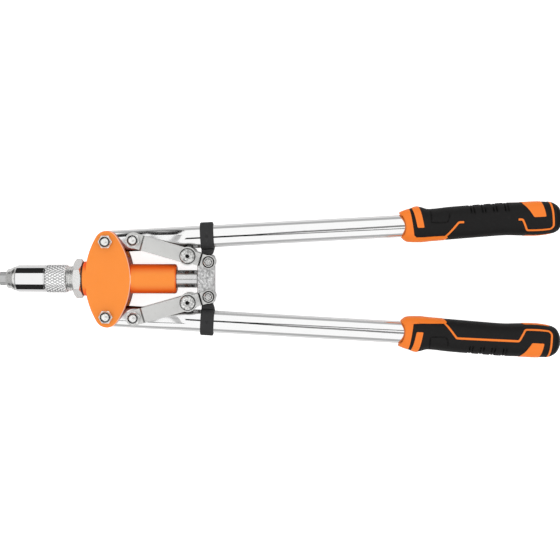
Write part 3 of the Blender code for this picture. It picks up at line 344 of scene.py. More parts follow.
def rounded(points, radius, closed=False):
    """Rounds the corners of a polyline of 2D points."""
    count = len(points)
    out = []
    for index, point in enumerate(points):
        here = Vector(point)
        if not closed and index in (0, count - 1):
            out.append(tuple(here))
            continue
        before, after = Vector(points[index - 1]), Vector(points[(index + 1) % count])
        first, second = before - here, after - here
        reach = min(radius, first.length * 0.45, second.length * 0.45)
        start, end = here + first.normalized() * reach, here + second.normalized() * reach
        for step in range(CORNER_STEPS + 1):
            t = step / CORNER_STEPS
            out.append(tuple(start * (1 - t) ** 2 + here * 2 * t * (1 - t) + end * t ** 2))
    return out


def prism(outline, low, high):
    """Extrudes an outline in X and Y between two heights."""
    return rings_to_solid([[(x, y, z) for x, y in outline] for z in (low, high)], closed=False)


def both_halves(half):
    """Closed outline from its half above X."""
    return half + [(x, -y) for x, y in reversed(half[1:-1])]


def arc(centre, radius, start, end, steps):
    """Points on an arc between two angles in degrees."""
    points = []
    for step in range(steps + 1):
        angle = math.radians(start + (end - start) * step / steps)
        points.append((centre[0] + radius * math.cos(angle), centre[1] + radius * math.sin(angle)))
    return points


def bulged(value, power):
    """Bends a sine or cosine towards its sign, for a section squarer than an ellipse."""
    return math.copysign(abs(value) ** (2 / power), value)


def oval(half_width, half_height, power, facets):
    """Points (y, z) of a rounded section."""
    return [(half_width * bulged(math.cos(angle), power), half_height * bulged(math.sin(angle), power))
            for angle in angles_round(facets, 0)]


def hex_angles(flats, facets, corner):
    """Angles and reaches round a hexagon whose corners are rounded by a radius."""
    centre = (flats / 2 - corner) / math.cos(math.pi / 6)
    turn = math.atan2(corner / 2, centre + corner * math.cos(math.pi / 6))
    plain = facets // 6 - 4
    found = []
    for side in range(6):
        middle = side * math.pi / 3
        for share in (-1, -0.5, 0, 0.5):
            away = abs(share) * turn
            reach = centre * math.cos(away) + math.sqrt(corner ** 2 - (centre * math.sin(away)) ** 2)
            found.append((middle + share * turn, reach))
        for step in range(plain):
            away = turn + (math.pi / 3 - 2 * turn) * step / plain
            found.append((middle + away, flats / 2 / math.cos(away - math.pi / 6)))
    return found


# Radius at a nut's faces, as a share of half its flats
HEX_FACE = 0.97


def hexed(flats, levels, facets=96, upright=True, bored=False, corner=0.0003):
    """A hexagonal body by levels of (distance along the axis, limit of the radius)."""
    spokes = hex_angles(flats, facets, corner)
    rings = [ring_at(along, [(angle, min(full, limit)) for angle, full in spokes], upright)
             for along, limit in levels]
    return rings_to_solid(rings, closed=bored)


def hex_levels(flats, low, high, cone_low, cone_high, steps=5):
    """Levels of a nut for hexed, with coned corners at the ends whose cone has a height."""
    corner, face = flats / math.sqrt(3), flats / 2 * HEX_FACE

    def end_levels(end, cone):
        if not cone:
            return [(end, corner)]
        shares = [step / steps for step in range(steps + 1)]
        return [(end + cone * share, face + (corner - face) * share) for share in shares]

    return end_levels(low, cone_low) + end_levels(high, -cone_high)[::-1]


def shifted(base, *rows):
    """Profile rows whose distances count from a base."""
    return [(base + distance, radius) for distance, radius in rows]


def eased(value):
    value = min(max(value, 0), 1)
    return value * value * (3 - 2 * value)


def merged(first, *others):
    """Adds the shells of other bmeshes to the first one."""
    for other in others:
        mesh = bpy.data.meshes.new("part")
        other.to_mesh(mesh)
        other.free()
        first.from_mesh(mesh)
        bpy.data.meshes.remove(mesh)
    return first


def make_object(shape, name, matrix, surface=None, sharp_angle=32.0):
    """Turns a bmesh into an object in the frame that the solids share."""
    shape.transform(matrix)
    bmesh.ops.recalc_face_normals(shape, faces=shape.faces)
    mesh = bpy.data.meshes.new(name)
    shape.to_mesh(mesh)
    shape.free()
    mesh.shade_smooth()
    mesh.set_sharp_from_angle(angle=math.radians(sharp_angle))
    if surface:
        mesh.materials.append(surface)
    made = bpy.data.objects.new(name, mesh)
    bpy.context.scene.collection.objects.link(made)
    return made


def piece(shape, name, body, surface, matrix, nodes=(), sharp_angle=32.0):
    """A finished piece on its body, which stands for the nodes that it names."""
    made = make_object(shape, name, matrix, surface, sharp_angle)
    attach(made, body)
    if nodes:
        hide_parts(*nodes)
    return made


def finish(shape, node, body, surface, matrix, sharp_angle=32.0):
    """The shown piece that stands for one solid, and is named after it."""
    return piece(shape, f"{node}_finish", body, surface, matrix, [node], sharp_angle)


def apply_modifiers(made):
    """Puts the result of an object's modifiers into its mesh."""
    bpy.context.view_layer.update()
    graph = bpy.context.evaluated_depsgraph_get()
    mesh = bpy.data.meshes.new_from_object(made.evaluated_get(graph))
    made.modifiers.clear()
    made.data = mesh


def combine(made, shape, operation, matrix):
    """Joins a bmesh to an object or cuts it out, and applies the result."""
    other = make_object(shape, "tool_shape", matrix)
    step = made.modifiers.new("combine", "BOOLEAN")
    step.operation = operation
    step.solver = "EXACT"
    step.object = other
    apply_modifiers(made)
    made.data.set_sharp_from_angle(angle=COMBINED_SHARP)
    bpy.data.objects.remove(other)


HOUSING = Matrix.Translation(TOOL)


def housing_at(x, y):
    return HOUSING @ Matrix.Translation((x, y, 0))


def swung(place, side, slope, flip):
    """Frame at a place on one side of the tool, at a slope, turned over when flip is pi."""
    turn = Euler((flip, 0, side * slope)).to_matrix().to_4x4()
    return Matrix.Translation(TOOL + Vector((place[0], side * place[1], 0))) @ turn


def arm_matrix(side):
    return swung((0, PIVOT_Y), side, ARM_SPLAY, 0 if side > 0 else math.pi)


def link_matrix(side, flip=0.0):
    return swung(CRANK, side, LINK_SLOPE, flip)


# Head casting

ARM_HALF = 0.0065
SLOT_HALF = ARM_HALF + GAP
EAR_RADIUS = 0.0118
EAR = (0.0006, PIVOT_Y - 0.0010)
REAR_REACH = 0.0241
FRONT_REACH = 0.0209
CHAMFER = 0.0009
TAIL_RADIUS = 0.01475
TAIL_END = 0.0685
NECK_RADIUS = 0.0172
NECK_FRONT = -FRONT_REACH - 0.0035
ROD_RADIUS = 0.00875
STEM_RADIUS = 0.0125
STEM_END = NECK_FRONT + 0.027
STEM_BORE = ROD_RADIUS + GAP
SLOT_START = 0.0215
PIVOT_HOLE_RADIUS = 0.0043
BUSH_START = TAIL_END - 0.0203
BUSH_RADIUS = 0.01175
OVERSHOOT = 0.003
TAIL_ROUNDING = 0.0020
NECK_ROUNDING = 0.0018
HEAD_VOXEL = 0.00042


def flank(reach, corner_x, corner_y, corner_radius):
    """Centre, radius and tangent angle of an arc that passes its reach and meets a corner circle."""
    room = reach - corner_radius
    centre = (room ** 2 - corner_x ** 2 - corner_y ** 2) / (2 * (room - corner_x))
    return centre, reach - centre, math.degrees(math.atan2(corner_y, corner_x - centre))


def plate_outline():
    """Almond-shaped outline of the head, seen from above."""
    rear_centre, rear_radius, rear_angle = flank(REAR_REACH, *EAR, EAR_RADIUS)
    front_centre, front_radius, front_angle = flank(FRONT_REACH, -EAR[0], EAR[1], EAR_RADIUS)
    half = arc((rear_centre, 0), rear_radius, 0, rear_angle, 36)
    half += arc(EAR, EAR_RADIUS, rear_angle, 180 - front_angle, 44)[1:]
    half += arc((-front_centre, 0), front_radius, 180 - front_angle, 180, 30)[1:]
    return both_halves(half)


def quarter(size, steps):
    """Offsets round a quarter circle, the first growing to its size and the second shrinking from it."""
    angles = [math.pi / 2 * step / steps for step in range(steps + 1)]
    return [(size * (1 - math.cos(angle)), size * (1 - math.sin(angle))) for angle in angles]


def pillow(outline, low, high, edge):
    """Prism with rounded rims, for a convex outline whose corners are rounder than the rims."""
    count = len(outline)
    area = sum(outline[i - 1][0] * outline[i][1] - outline[i][0] * outline[i - 1][1] for i in range(count))
    turn = math.copysign(1, area)
    normals = []
    for index in range(count):
        along = Vector(outline[(index + 1) % count]) - Vector(outline[index - 1])
        along.normalize()
        normals.append((along.y * turn, -along.x * turn))
    rim = quarter(edge, 4)
    levels = [(low + rise, inset) for rise, inset in rim]
    levels += [(high - rise, inset) for rise, inset in reversed(rim)]
    rings = []
    for z, inset in levels:
        rings.append([(x - inset * nx, y - inset * ny, z) for (x, y), (nx, ny) in zip(outline, normals)])
    return rings_to_solid(rings, closed=False)


def box(low, high):
    corners = [(low[0], low[1]), (high[0], low[1]), (high[0], high[1]), (low[0], high[1])]
    return prism(corners, low[2], high[2])


def rounded_end(along, radius, rounding, forwards):
    """Profile points of an outer edge rounded off, at the start or at the end of a run."""
    offsets = quarter(rounding, 8)
    if forwards:
        return [(along - back, radius - down) for down, back in offsets]
    return [(along + back, radius - down) for down, back in reversed(offsets)]


def build_head():
    """Cast head: soft fillets from a fine remesh, then crisp machined holes."""
    plate = prism(plate_outline(), -EAR_OUTER, EAR_OUTER)
    bmesh.ops.recalc_face_normals(plate, faces=plate.faces)
    rims = [edge for edge in plate.edges if abs(edge.verts[0].co.z - edge.verts[1].co.z) < 1e-6]
    bmesh.ops.bevel(plate, geom=rims, offset=CHAMFER * 1.1, segments=2, profile=0.55, affect="EDGES")
    head = make_object(plate, "head_casting_finish", HOUSING, PAINT)
    tail = [(0, TAIL_RADIUS)] + rounded_end(TAIL_END, TAIL_RADIUS, TAIL_ROUNDING, True)
    neck = rounded_end(NECK_FRONT, NECK_RADIUS, NECK_ROUNDING, False)
    neck += [(-FRONT_REACH + 0.0018, NECK_RADIUS), (0, EAR_OUTER - CHAMFER)]
    for profile in (tail, neck):
        combine(head, turned(profile, 128, bored=False), "UNION", HOUSING)
    far = PIVOT_Y + 2 * EAR_RADIUS
    for side in (-1, 1):
        low, high = sorted((side * SLOT_START, side * far))
        combine(head, box((-far, low, -SLOT_HALF), (far, high, SLOT_HALF)), "DIFFERENCE", HOUSING)
    remesh = head.modifiers.new("remesh", "REMESH")
    remesh.mode = "VOXEL"
    remesh.voxel_size = HEAD_VOXEL
    smooth = head.modifiers.new("smooth", "SMOOTH")
    smooth.factor = 0.5
    smooth.iterations = 4
    apply_modifiers(head)
    bore = [(NECK_FRONT - OVERSHOOT, STEM_RADIUS + GAP), (STEM_END, STEM_RADIUS + GAP)]
    bore += [(STEM_END, STEM_BORE), (BUSH_START, STEM_BORE)]
    bore += [(BUSH_START, BUSH_RADIUS), (TAIL_END + OVERSHOOT, BUSH_RADIUS)]
    combine(head, turned(bore, 96, bored=False), "DIFFERENCE", HOUSING)
    reach = EAR_OUTER + OVERSHOOT
    hole = [(-reach, PIVOT_HOLE_RADIUS), (reach, PIVOT_HOLE_RADIUS)]
    for side in (-1, 1):
        combine(head, upright_solid(hole, 48), "DIFFERENCE", housing_at(0, side * PIVOT_Y))
    head.data.shade_smooth()
    head.data.set_sharp_from_angle(angle=COMBINED_SHARP)
    head.data.materials.clear()
    head.data.materials.append(PAINT)
    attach(head, "housing")
    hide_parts("head_casting")


# Nose

NUT_REAR = NECK_FRONT - GAP
NUT_FRONT = NUT_REAR - 0.0083
NUT_CONE = 0.0016
NUT_FACE = 0.985
SLEEVE_REAR = -0.0405
SLEEVE_FRONT = -0.0905
KNURL_FRONT = SLEEVE_REAR - 0.0205
KNURL_RADIUS = 0.0142
KNURL_BORE = 0.0128
KNURL_DEPTH = 0.00055
KNURL_FLAT = 0.45
SHOULDER_LENGTH = 0.0010
SHOULDER_DROP = 0.0008
SLEEVE_RADIUS = 0.0134
STEM_FRONT = -0.0580
THREAD_PITCH = 0.0022
THREAD_DEPTH = 0.0012
NOSE_TIP = -0.1085
NOSE_FLATS = 0.0120
NOSE_BORE = 0.0024
NOSE_SHANK = 0.0080
NUT_FLATS = 0.0346
KNURL_TEETH = 28
KNURL_SLANT = 0.62 * KNURL_TEETH / (math.tau * KNURL_RADIUS)
KNURLED = knurl_surface(KNURL_TEETH, KNURL_SLANT)


def build_stem():
    """Hollow stem with a cut thread where it shows, between the sleeve and the locknut."""
    facets, steps = 96, 80
    start = SLEEVE_REAR - 0.003
    length = NUT_FRONT + 0.001 - start
    angles = angles_round(facets)

    def thread_ring(x, depth):
        spokes = []
        for index, angle in enumerate(angles):
            phase = (x / THREAD_PITCH + index / facets) % 1.0
            crest = min(1.0, max(0.0, 1.35 - abs(phase - 0.5) * 3.2))
            spokes.append((angle, STEM_RADIUS - depth * (1 - crest)))
        return ring_at(x, spokes)

    rings = [thread_ring(STEM_FRONT, 0.0)]
    for step in range(steps + 1):
        share = step / steps
        rings.append(thread_ring(start + length * share, THREAD_DEPTH * min(1.0, 8 * share, 8 * (1 - share))))
    rings.append(thread_ring(STEM_END, 0.0))
    rings += [ring_at(x, [(angle, STEM_BORE) for angle in angles]) for x in (STEM_END, STEM_FRONT)]
    shape = rings_to_solid(rings, closed=True)
    finish(shape, "threaded_stem", "housing", ZINC, HOUSING)


def build_neck_shade_ring():
    """Black ring of painted shade in the rounded front edge of the neck, seen as a line behind the locknut.
    """
    ring = shifted(NECK_FRONT, (-0.0001, 0.0150), (-0.0001, NECK_RADIUS - 0.0004),
                   (0.0009, NECK_RADIUS - 0.0001), (0.0009, 0.0150))
    piece(turned(ring, 128), "neck_shade_ring", "housing", RUBBER, HOUSING)


def build_locknut():
    """Hexagon locknut, turned against the neck, one flat facing up."""
    face, corner = NUT_FLATS / 2 * NUT_FACE, NUT_FLATS / math.sqrt(3)
    cone = [(NUT_CONE * step / 6, face + (corner - face) * step / 6) for step in range(7)]
    levels = [(NUT_FRONT, STEM_RADIUS + 0.0009)] + shifted(NUT_FRONT, *cone)
    levels += [(NUT_REAR - along, limit) for along, limit in reversed(cone)]
    levels += [(NUT_REAR, STEM_RADIUS + GAP), (NUT_FRONT + 0.0006, STEM_RADIUS + GAP)]
    shape = hexed(NUT_FLATS, levels, 180, upright=False, bored=True, corner=0.0008)
    finish(shape, "locknut", "locknut", PALE_ZINC, HOUSING, 25)


def build_sleeve():
    """Nose sleeve: mirror-bright front and a larger rear with a raised diamond knurl."""
    cavity, mouth, undercut = 0.0094, 0.0083, SLEEVE_RADIUS - 0.0005
    front = shifted(SLEEVE_FRONT, (0.0045, cavity), (0.0045, mouth), (0, mouth))
    front += [(SLEEVE_FRONT + rise, SLEEVE_RADIUS - inset) for rise, inset in quarter(0.0009, 6)]
    front += shifted(KNURL_FRONT, (-0.0014, SLEEVE_RADIUS), (-0.0011, undercut), (-0.0003, undercut),
                     (-0.0003, cavity))
    piece(turned(front, 160), "nose_sleeve_front", "nose_sleeve", SLEEVE_CHROME, HOUSING,
          ["nose_sleeve"], 25)
    facets, steps = 480, 132
    angles = angles_round(facets, 0)
    rings = []
    for step in range(steps + 1):
        x = KNURL_FRONT + (SLEEVE_REAR - KNURL_FRONT) * step / steps
        shoulder = min(x - KNURL_FRONT, SLEEVE_REAR - x, SHOULDER_LENGTH) / SHOULDER_LENGTH
        end_radius = KNURL_RADIUS - SHOULDER_DROP * (1 - shoulder) ** 1.5
        along = (x - KNURL_FRONT) * KNURL_SLANT
        spokes = []
        for index, angle in enumerate(angles):
            around_it = KNURL_TEETH * index / facets
            highest = max(abs(phase % 1.0 - 0.5) * 2 for phase in (around_it + along, around_it - along))
            groove = max(0.0, highest - KNURL_FLAT) / (1 - KNURL_FLAT)
            spokes.append((angle, end_radius - KNURL_DEPTH * groove))
        rings.append(ring_at(x, spokes))
    rings += [ring_at(x, [(angle, KNURL_BORE) for angle in angles]) for x in (SLEEVE_REAR, KNURL_FRONT)]
    piece(rings_to_solid(rings, closed=True), "nose_sleeve_knurl", "nose_sleeve", KNURLED,
          HOUSING, sharp_angle=60)


def build_nosepiece():
    """Nosepiece: hexagon tip and stepped cone."""
    seat = SLEEVE_FRONT - GAP
    cone = seat - 0.0100
    profile = shifted(cone, (0, NOSE_BORE), (0, 0.0060), (0.0004, 0.0090), (0.0009, 0.0096), (0.0044, 0.0103),
                      (0.0058, 0.0112), (0.0072, 0.0119))
    profile += shifted(seat, (-0.0012, 0.0123), (-0.0005, 0.0122), (0, 0.0117), (0, NOSE_SHANK))
    profile += shifted(SLEEVE_FRONT + 0.0055, (0, NOSE_SHANK), (0, NOSE_BORE))
    root, bore = cone + 0.0025, NOSE_BORE + 0.00005
    levels = [(NOSE_TIP, bore), (NOSE_TIP, 0.0046)] + hex_levels(NOSE_FLATS, NOSE_TIP, root, 0.0009, 0)
    tip = hexed(NOSE_FLATS, levels + [(root, bore)], 120, upright=False, bored=True)
    piece(tip, "nosepiece_tip", "nosepiece", NOSE_STEEL, HOUSING, ["nosepiece"], 25)
    cone = turned(profile, 128)
    piece(cone, "nosepiece_cone", "nosepiece", PALE_ZINC, HOUSING, sharp_angle=45)


# Pull rod and yoke

YOKE_FRONT = 0.0894
YOKE_REAR = YOKE_FRONT + 0.0172
YOKE_HALF_WIDTH = 0.0241
YOKE_HALF_HEIGHT = 0.0080
YOKE_CUT = 0.0018
ROD_START = -0.0250
ROD_BORE = 0.0019
ROD_END_RADIUS = 0.0058


def build_rod():
    """Polished pull rod, with its riveted end in the yoke's rear face."""
    profile = shifted(ROD_START, (0, ROD_BORE), (0, ROD_RADIUS - 0.0004), (0.0004, ROD_RADIUS))
    profile += shifted(YOKE_FRONT - GAP, (-0.0003, ROD_RADIUS), (0, ROD_RADIUS - 0.0003), (0, ROD_END_RADIUS))
    profile += shifted(YOKE_REAR, (-0.0004, ROD_END_RADIUS), (0, ROD_END_RADIUS - 0.0004), (0, ROD_BORE))
    finish(turned(profile, 96), "pull_rod", "drawbar", ROD_STEEL, HOUSING, 25)


def build_yoke():
    """Cast yoke block with broken edges; the links' round ends cover its holes."""
    half_x = (YOKE_REAR - YOKE_FRONT) / 2
    cut, reach = YOKE_CUT, YOKE_HALF_WIDTH
    outline = [
        (half_x, -reach + cut), (half_x, reach - cut), (half_x - cut, reach), (cut - half_x, reach),
        (-half_x, reach - cut), (-half_x, cut - reach), (cut - half_x, -reach), (half_x - cut, -reach),
    ]
    shape = pillow(rounded(outline, 0.0012, closed=True), -YOKE_HALF_HEIGHT, YOKE_HALF_HEIGHT, 0.0010)
    matrix = housing_at(YOKE_FRONT + half_x, 0)
    made = finish(shape, "yoke_block", "drawbar", CAST, matrix, 25)
    hole = [(along, ROD_END_RADIUS + GAP) for along in (-half_x - cut, half_x + cut)]
    combine(made, turned(hole, 64, bored=False), "DIFFERENCE", matrix)
    for side in (-1, 1):
        slot = prism(slot_outline(side), -YOKE_HALF_HEIGHT - OVERSHOOT, YOKE_HALF_HEIGHT + OVERSHOOT)
        combine(made, slot, "DIFFERENCE", housing_at(YOKE_PIN.x, side * YOKE_PIN.y))


def slot_outline(side):
    """Outline of a yoke hole, widened for the pin's stray along and across."""
    stray_x, stray_y, radius = 0.0023981, 0.00063412, 0.0033
    outline = []
    for x, y, start in ((0, stray_y, 0), (-stray_x, stray_y, 90), (-stray_x, 0, 180), (0, 0, 270)):
        outline += arc((x, y), radius, start, start + 90, 8)
    return [(x, side * y) for x, y in outline]


# Arms

TUBE_WIDTH = 0.0223
TUBE_THICKNESS = 0.0160
TUBE_WALL = 0.0017
TUBE_LENGTH = 0.4400
ARM_END_RADIUS = 0.0110
PRESSED_LENGTH = 0.0400
BLEND_LENGTH = 0.0450


def tube_ring(s, inset=0.0):
    """Section of an arm at a distance from its pivot: pressed flat in front, oval behind."""
    ease = eased((s - PRESSED_LENGTH) / BLEND_LENGTH)
    half_width = ARM_END_RADIUS + (TUBE_WIDTH / 2 - ARM_END_RADIUS) * ease
    half_height = ARM_HALF + (TUBE_THICKNESS / 2 - ARM_HALF) * ease
    if s < 0:
        half_width = math.sqrt(max(ARM_END_RADIUS ** 2 - s ** 2, 0))
    return [(s, y, z) for y, z in oval(half_width - inset, half_height - inset, 2.5 - 0.2 * ease, 144)]


def build_arm(name, side):
    """Oval chromed tube, pressed flat in front and round-ended at the pivot."""
    front = [-ARM_END_RADIUS * math.cos(math.radians(angle)) for angle in (4, 10, 18, 28, 40, 54, 70, 90)]
    blend = [PRESSED_LENGTH + BLEND_LENGTH * step / 24 for step in range(25)]
    run = [0.10, 0.16, 0.24, 0.32, 0.40, TUBE_LENGTH]
    rings = [tube_ring(s) for s in front + [0.012, 0.026] + blend + run]
    rings += [tube_ring(s, TUBE_WALL) for s in (TUBE_LENGTH, PRESSED_LENGTH + BLEND_LENGTH + TUBE_WALL)]
    tube = rings_to_solid(rings, closed=False)
    finish(tube, f"{name}_arm_tube", f"arm_{name}", CHROME, arm_matrix(side), 40)


# Rubber bumpers

BUMPER_START = 0.0925
BUMPER_LENGTH = 0.0132
BUMPER_WALL = 0.0028
BAND_POWER = 2.3
NUB_HALF_HEIGHT = 0.0075
DIMPLE_RADIUS = 0.0019


def to_arm(x, y):
    """Turns a place in the tool's plane into one along and across the upper arm."""
    y -= PIVOT_Y
    along = x * math.cos(ARM_SPLAY) + y * math.sin(ARM_SPLAY)
    across = y * math.cos(ARM_SPLAY) - x * math.sin(ARM_SPLAY)
    return along, across


def build_bumper(name, side):
    """Rubber band round an arm, with a nub towards the yoke and a moulded dimple on each face."""
    half_width, half_height = TUBE_WIDTH / 2 + GAP, TUBE_THICKNESS / 2 + GAP
    end = BUMPER_START + BUMPER_LENGTH
    edge = [(0.0, 0.0), (0.0, 0.0014), (0.0003, 0.0022), (0.0010, BUMPER_WALL)]
    rings = []
    for s, wall in shifted(BUMPER_START, *edge) + [(end - along, wall) for along, wall in reversed(edge)]:
        rings.append([(s, y, z) for y, z in oval(half_width + wall, half_height + wall, BAND_POWER, 96)])
    matrix = arm_matrix(side)
    band = rings_to_solid(rings, closed=True)
    band = finish(band, f"{name}_arm_bumper", f"arm_{name}", RUBBER, matrix, 30)
    root = -half_width - BUMPER_WALL / 2
    tip_y = YOKE_HALF_WIDTH + GAP
    outline = [(BUMPER_START + GAP, root), (end - GAP, root), to_arm(YOKE_REAR - 0.0025, tip_y),
               to_arm(YOKE_FRONT + 0.0043, tip_y)]
    nub = pillow(rounded(outline, 0.0010, closed=True), -NUB_HALF_HEIGHT, NUB_HALF_HEIGHT, 0.0007)
    combine(band, nub, "UNION", matrix)
    for face in (-1, 1):
        dimple = bmesh.new()
        centre = ((BUMPER_START + end) / 2, 0, face * (half_height + BUMPER_WALL + 0.0011))
        bmesh.ops.create_uvsphere(dimple, u_segments=24, v_segments=12, radius=DIMPLE_RADIUS,
                                  matrix=Matrix.Translation(centre))
        combine(band, dimple, "DIFFERENCE", matrix)


# Grips: distances count from the mouth, and across the arm the outer side is positive

GRIP_LENGTH = 0.1595
GRIP_START = TUBE_LENGTH - (GRIP_LENGTH - 0.0115)
GRIP_HALF_WIDTH = 0.0158
GRIP_HALF_HEIGHT = 0.0160
GRIP_POWER = 2.35
# Rows of a distance, and what the section gains there on its outer side, inner side and each face
GRIP_SWELL = (
    (0.0000, -0.0016, -0.0040, -0.0040),
    (0.0045, 0.0000, -0.0002, -0.0020),
    (0.0105, 0.0016, 0.0009, -0.0004),
    (0.0160, 0.0031, 0.0012, 0.0004),
    (0.0205, 0.0024, 0.0014, 0.0006),
    (0.0280, 0.0001, 0.0009, 0.0002),
    (0.0480, 0.0010, 0.0004, -0.0004),
    (0.0800, 0.0019, -0.0005, -0.0004),
    (0.1040, 0.0023, -0.0009, -0.0002),
    (0.1200, 0.0019, 0.0002, 0.0000),
    (0.1360, 0.0018, 0.0009, 0.0000),
    (0.1500, 0.0005, -0.0004, -0.0004),
    (0.1530, -0.0010, -0.0014, -0.0010),
    (0.1560, -0.0034, -0.0036, -0.0026),
    (0.1580, -0.0066, -0.0069, -0.0054),
    (0.1595, -0.0098, -0.0100, -0.0084),
)
COLLAR_EDGE = 0.0104
COLLAR_SLANT = 0.0036
CAP_START = GRIP_LENGTH - 0.0068
GRIP_FACETS = 180
STRIP_WIDTH = 0.0019
INLAY_LIFT = 0.00005
INLAY_DEPTH = 0.0010
COVER_SUNK = 0.00022
RIB_NOTCHES = (0.0705, 0.0815, 0.0925, 0.1040)
RIB_LIP = 0.0016
RIB_DEPTH = 0.0015
RIB_FLOOR_DEPTH = 0.0003
PANEL_LINE_DEPTH = 0.0009
EDGE_DEPTH = 0.0012
COVER_CLEARANCE = 0.0008
CAP_SUNK = 0.0001


def swell_at(at, column):
    """Reads a column of the grip's table at a distance, with eased slopes between its rows."""
    rows = GRIP_SWELL
    if at <= rows[0][0]:
        return rows[0][column]
    for index, (low, high) in enumerate(zip(rows, rows[1:])):
        if at <= high[0]:
            before, after = rows[max(index - 1, 0)], rows[min(index + 2, len(rows) - 1)]
            width = high[0] - low[0]
            slope_low = (high[column] - before[column]) / (high[0] - before[0])
            slope_high = (after[column] - low[column]) / (after[0] - low[0])
            t = (at - low[0]) / width
            bend = t * (1 - t) ** 2 * slope_low - t * t * (1 - t) * slope_high
            return low[column] + (high[column] - low[column]) * eased(t) + bend * width
    return rows[-1][column]


def girth_table(steps):
    """Distance round the nominal section from the outer side, by the section's angle."""
    points = oval(GRIP_HALF_WIDTH, GRIP_HALF_HEIGHT, GRIP_POWER, steps)
    table = [0.0]
    for first, second in zip(points, points[1:] + points[:1]):
        table.append(table[-1] + math.hypot(second[0] - first[0], second[1] - first[1]))
    return table


GIRTHS = girth_table(720)
GIRTH = GIRTHS[-1]
WAYS_ROUND = [GIRTH * step / GRIP_FACETS for step in range(GRIP_FACETS)]


def angle_at(w):
    """Angle of the section at a distance round it from the outer side."""
    turns, w = divmod(w, GIRTH)
    high = min(bisect.bisect_right(GIRTHS, w), len(GIRTHS) - 1)
    low = high - 1
    share = (w - GIRTHS[low]) / (GIRTHS[high] - GIRTHS[low])
    return math.tau * (turns + (low + share) / (len(GIRTHS) - 1))


def around(y, face):
    """Distance round the section for a place across it, on the first face (1) or the second (-1)."""
    share = max(-1.0, min(1.0, y / (GRIP_HALF_WIDTH + 0.0008)))
    angle = math.acos(math.copysign(abs(share) ** (GRIP_POWER / 2), share))
    index = angle / math.tau * (len(GIRTHS) - 1)
    low = int(index)
    return face * (GIRTHS[low] + (GIRTHS[low + 1] - GIRTHS[low]) * (index - low))


def grip_point(distance, w, lift):
    """Place on the grip's skin, lifted off it by a height."""
    angle = angle_at(w)
    wide, high = math.cos(angle), math.sin(angle)
    half_width = GRIP_HALF_WIDTH + swell_at(distance, 1 if wide > 0 else 2) + lift
    half_height = GRIP_HALF_HEIGHT + swell_at(distance, 3) + lift
    y, z = half_width * bulged(wide, GRIP_POWER), half_height * bulged(high, GRIP_POWER)
    return GRIP_START + distance, y, z


def near(value, centre, half, soft):
    """1 within half of a centre, easing to 0 over a soft edge."""
    return eased((half + soft - abs(value - centre)) / soft)


def polyline_gap(point, line):
    """Distance of a point from a polyline."""
    best = 1.0
    for first, second in zip(line, line[1:]):
        dx, dy = second[0] - first[0], second[1] - first[1]
        t = ((point[0] - first[0]) * dx + (point[1] - first[1]) * dy) / (dx * dx + dy * dy)
        t = max(0.0, min(1.0, t))
        best = min(best, math.hypot(point[0] - first[0] - t * dx, point[1] - first[1] - t * dy))
    return best


# Thin sunk lines of the moulded panel near the mouth, on both faces
PANEL = [(0.0290, 0.0135), (0.0288, 0.0020), (0.0440, 0.0012), (0.0466, 0.0050), (0.0470, 0.0100)]
PANEL_LINES = [[(d, around(y, face)) for d, y in rounded(PANEL, 0.0018)] for face in (1, -1)]


def cover_depth(distance, w):
    """How deep the soft cover is sunk at a place: rib notches on the outer side and panel lines."""
    signed = w - GIRTH if w > GIRTH / 2 else w
    depth = 0.0
    if abs(signed) < 0.022:
        fade = near(abs(signed), 0, 0.0155, 0.0035)
        for centre in RIB_NOTCHES:
            lips = sum(near(distance, centre + aside, 0.0002, 0.0009) for aside in (-RIB_LIP, RIB_LIP))
            depth += fade * (RIB_DEPTH * lips + RIB_FLOOR_DEPTH * near(distance, centre, 0.0012, 0.0012))
    if 0.027 < distance < 0.049:
        for line in PANEL_LINES:
            gap = polyline_gap((distance, signed), line)
            depth += PANEL_LINE_DEPTH * near(gap, 0, 0.00025, 0.00055)
    return depth


def skin_ring(distance, lift):
    """Ring on the grip's skin, at a distance or at one that depends on the way round."""
    return [grip_point(distance(w) if callable(distance) else distance, w, lift) for w in WAYS_ROUND]


def skin_grid(start, end, columns, lift, depth=None):
    """Rings of the grip's skin between two edges, sunk by a depth."""
    rings = []
    for column in range(columns + 1):
        share = column / columns
        ring = []
        for w in WAYS_ROUND:
            distance = start(w) + (end(w) - start(w)) * share
            sunk = depth(distance, w) if depth else 0.0
            ring.append(grip_point(distance, w, lift - sunk))
        rings.append(ring)
    return rings


def share_across(w):
    """Place across the grip at a way round it: 1 at the outer side, -1 at the inner side."""
    return bulged(math.cos(angle_at(w)), GRIP_POWER)


def collar_edge(w):
    """Slanted rear edge of the orange collar."""
    return COLLAR_EDGE - COLLAR_SLANT * share_across(w) / 2


def mouth_edge(w):
    """Front edge of the collar, scooped on both faces."""
    share = share_across(w)
    return 0.0040 * (1 - share ** 2) - 0.0008 * max(share, 0)


def bore_ring(distance, clearance):
    """Ring of the grip's bore, clear of the tube outside it, or inside it when negative."""
    section = oval(TUBE_WIDTH / 2 + clearance, TUBE_THICKNESS / 2 + clearance, BAND_POWER, GRIP_FACETS)
    return [(GRIP_START + distance, y, z) for y, z in section]


def ribbon(line):
    """Outline of a strip along a line, with mitred corners."""
    left, right = [], []
    for index, point in enumerate(line):
        here = Vector(point)
        before = Vector(line[index - 1]) if index else here * 2 - Vector(line[1])
        after = Vector(line[index + 1]) if index < len(line) - 1 else here * 2 - Vector(line[-2])
        first, second = (here - before).normalized(), (after - here).normalized()
        normal = Vector((-(first + second).y, (first + second).x)).normalized()
        reach = STRIP_WIDTH / 2 / max(normal.dot(Vector((-first.y, first.x))), 0.4)
        left.append(tuple(here + normal * reach))
        right.append(tuple(here - normal * reach))
    return left + right[::-1]


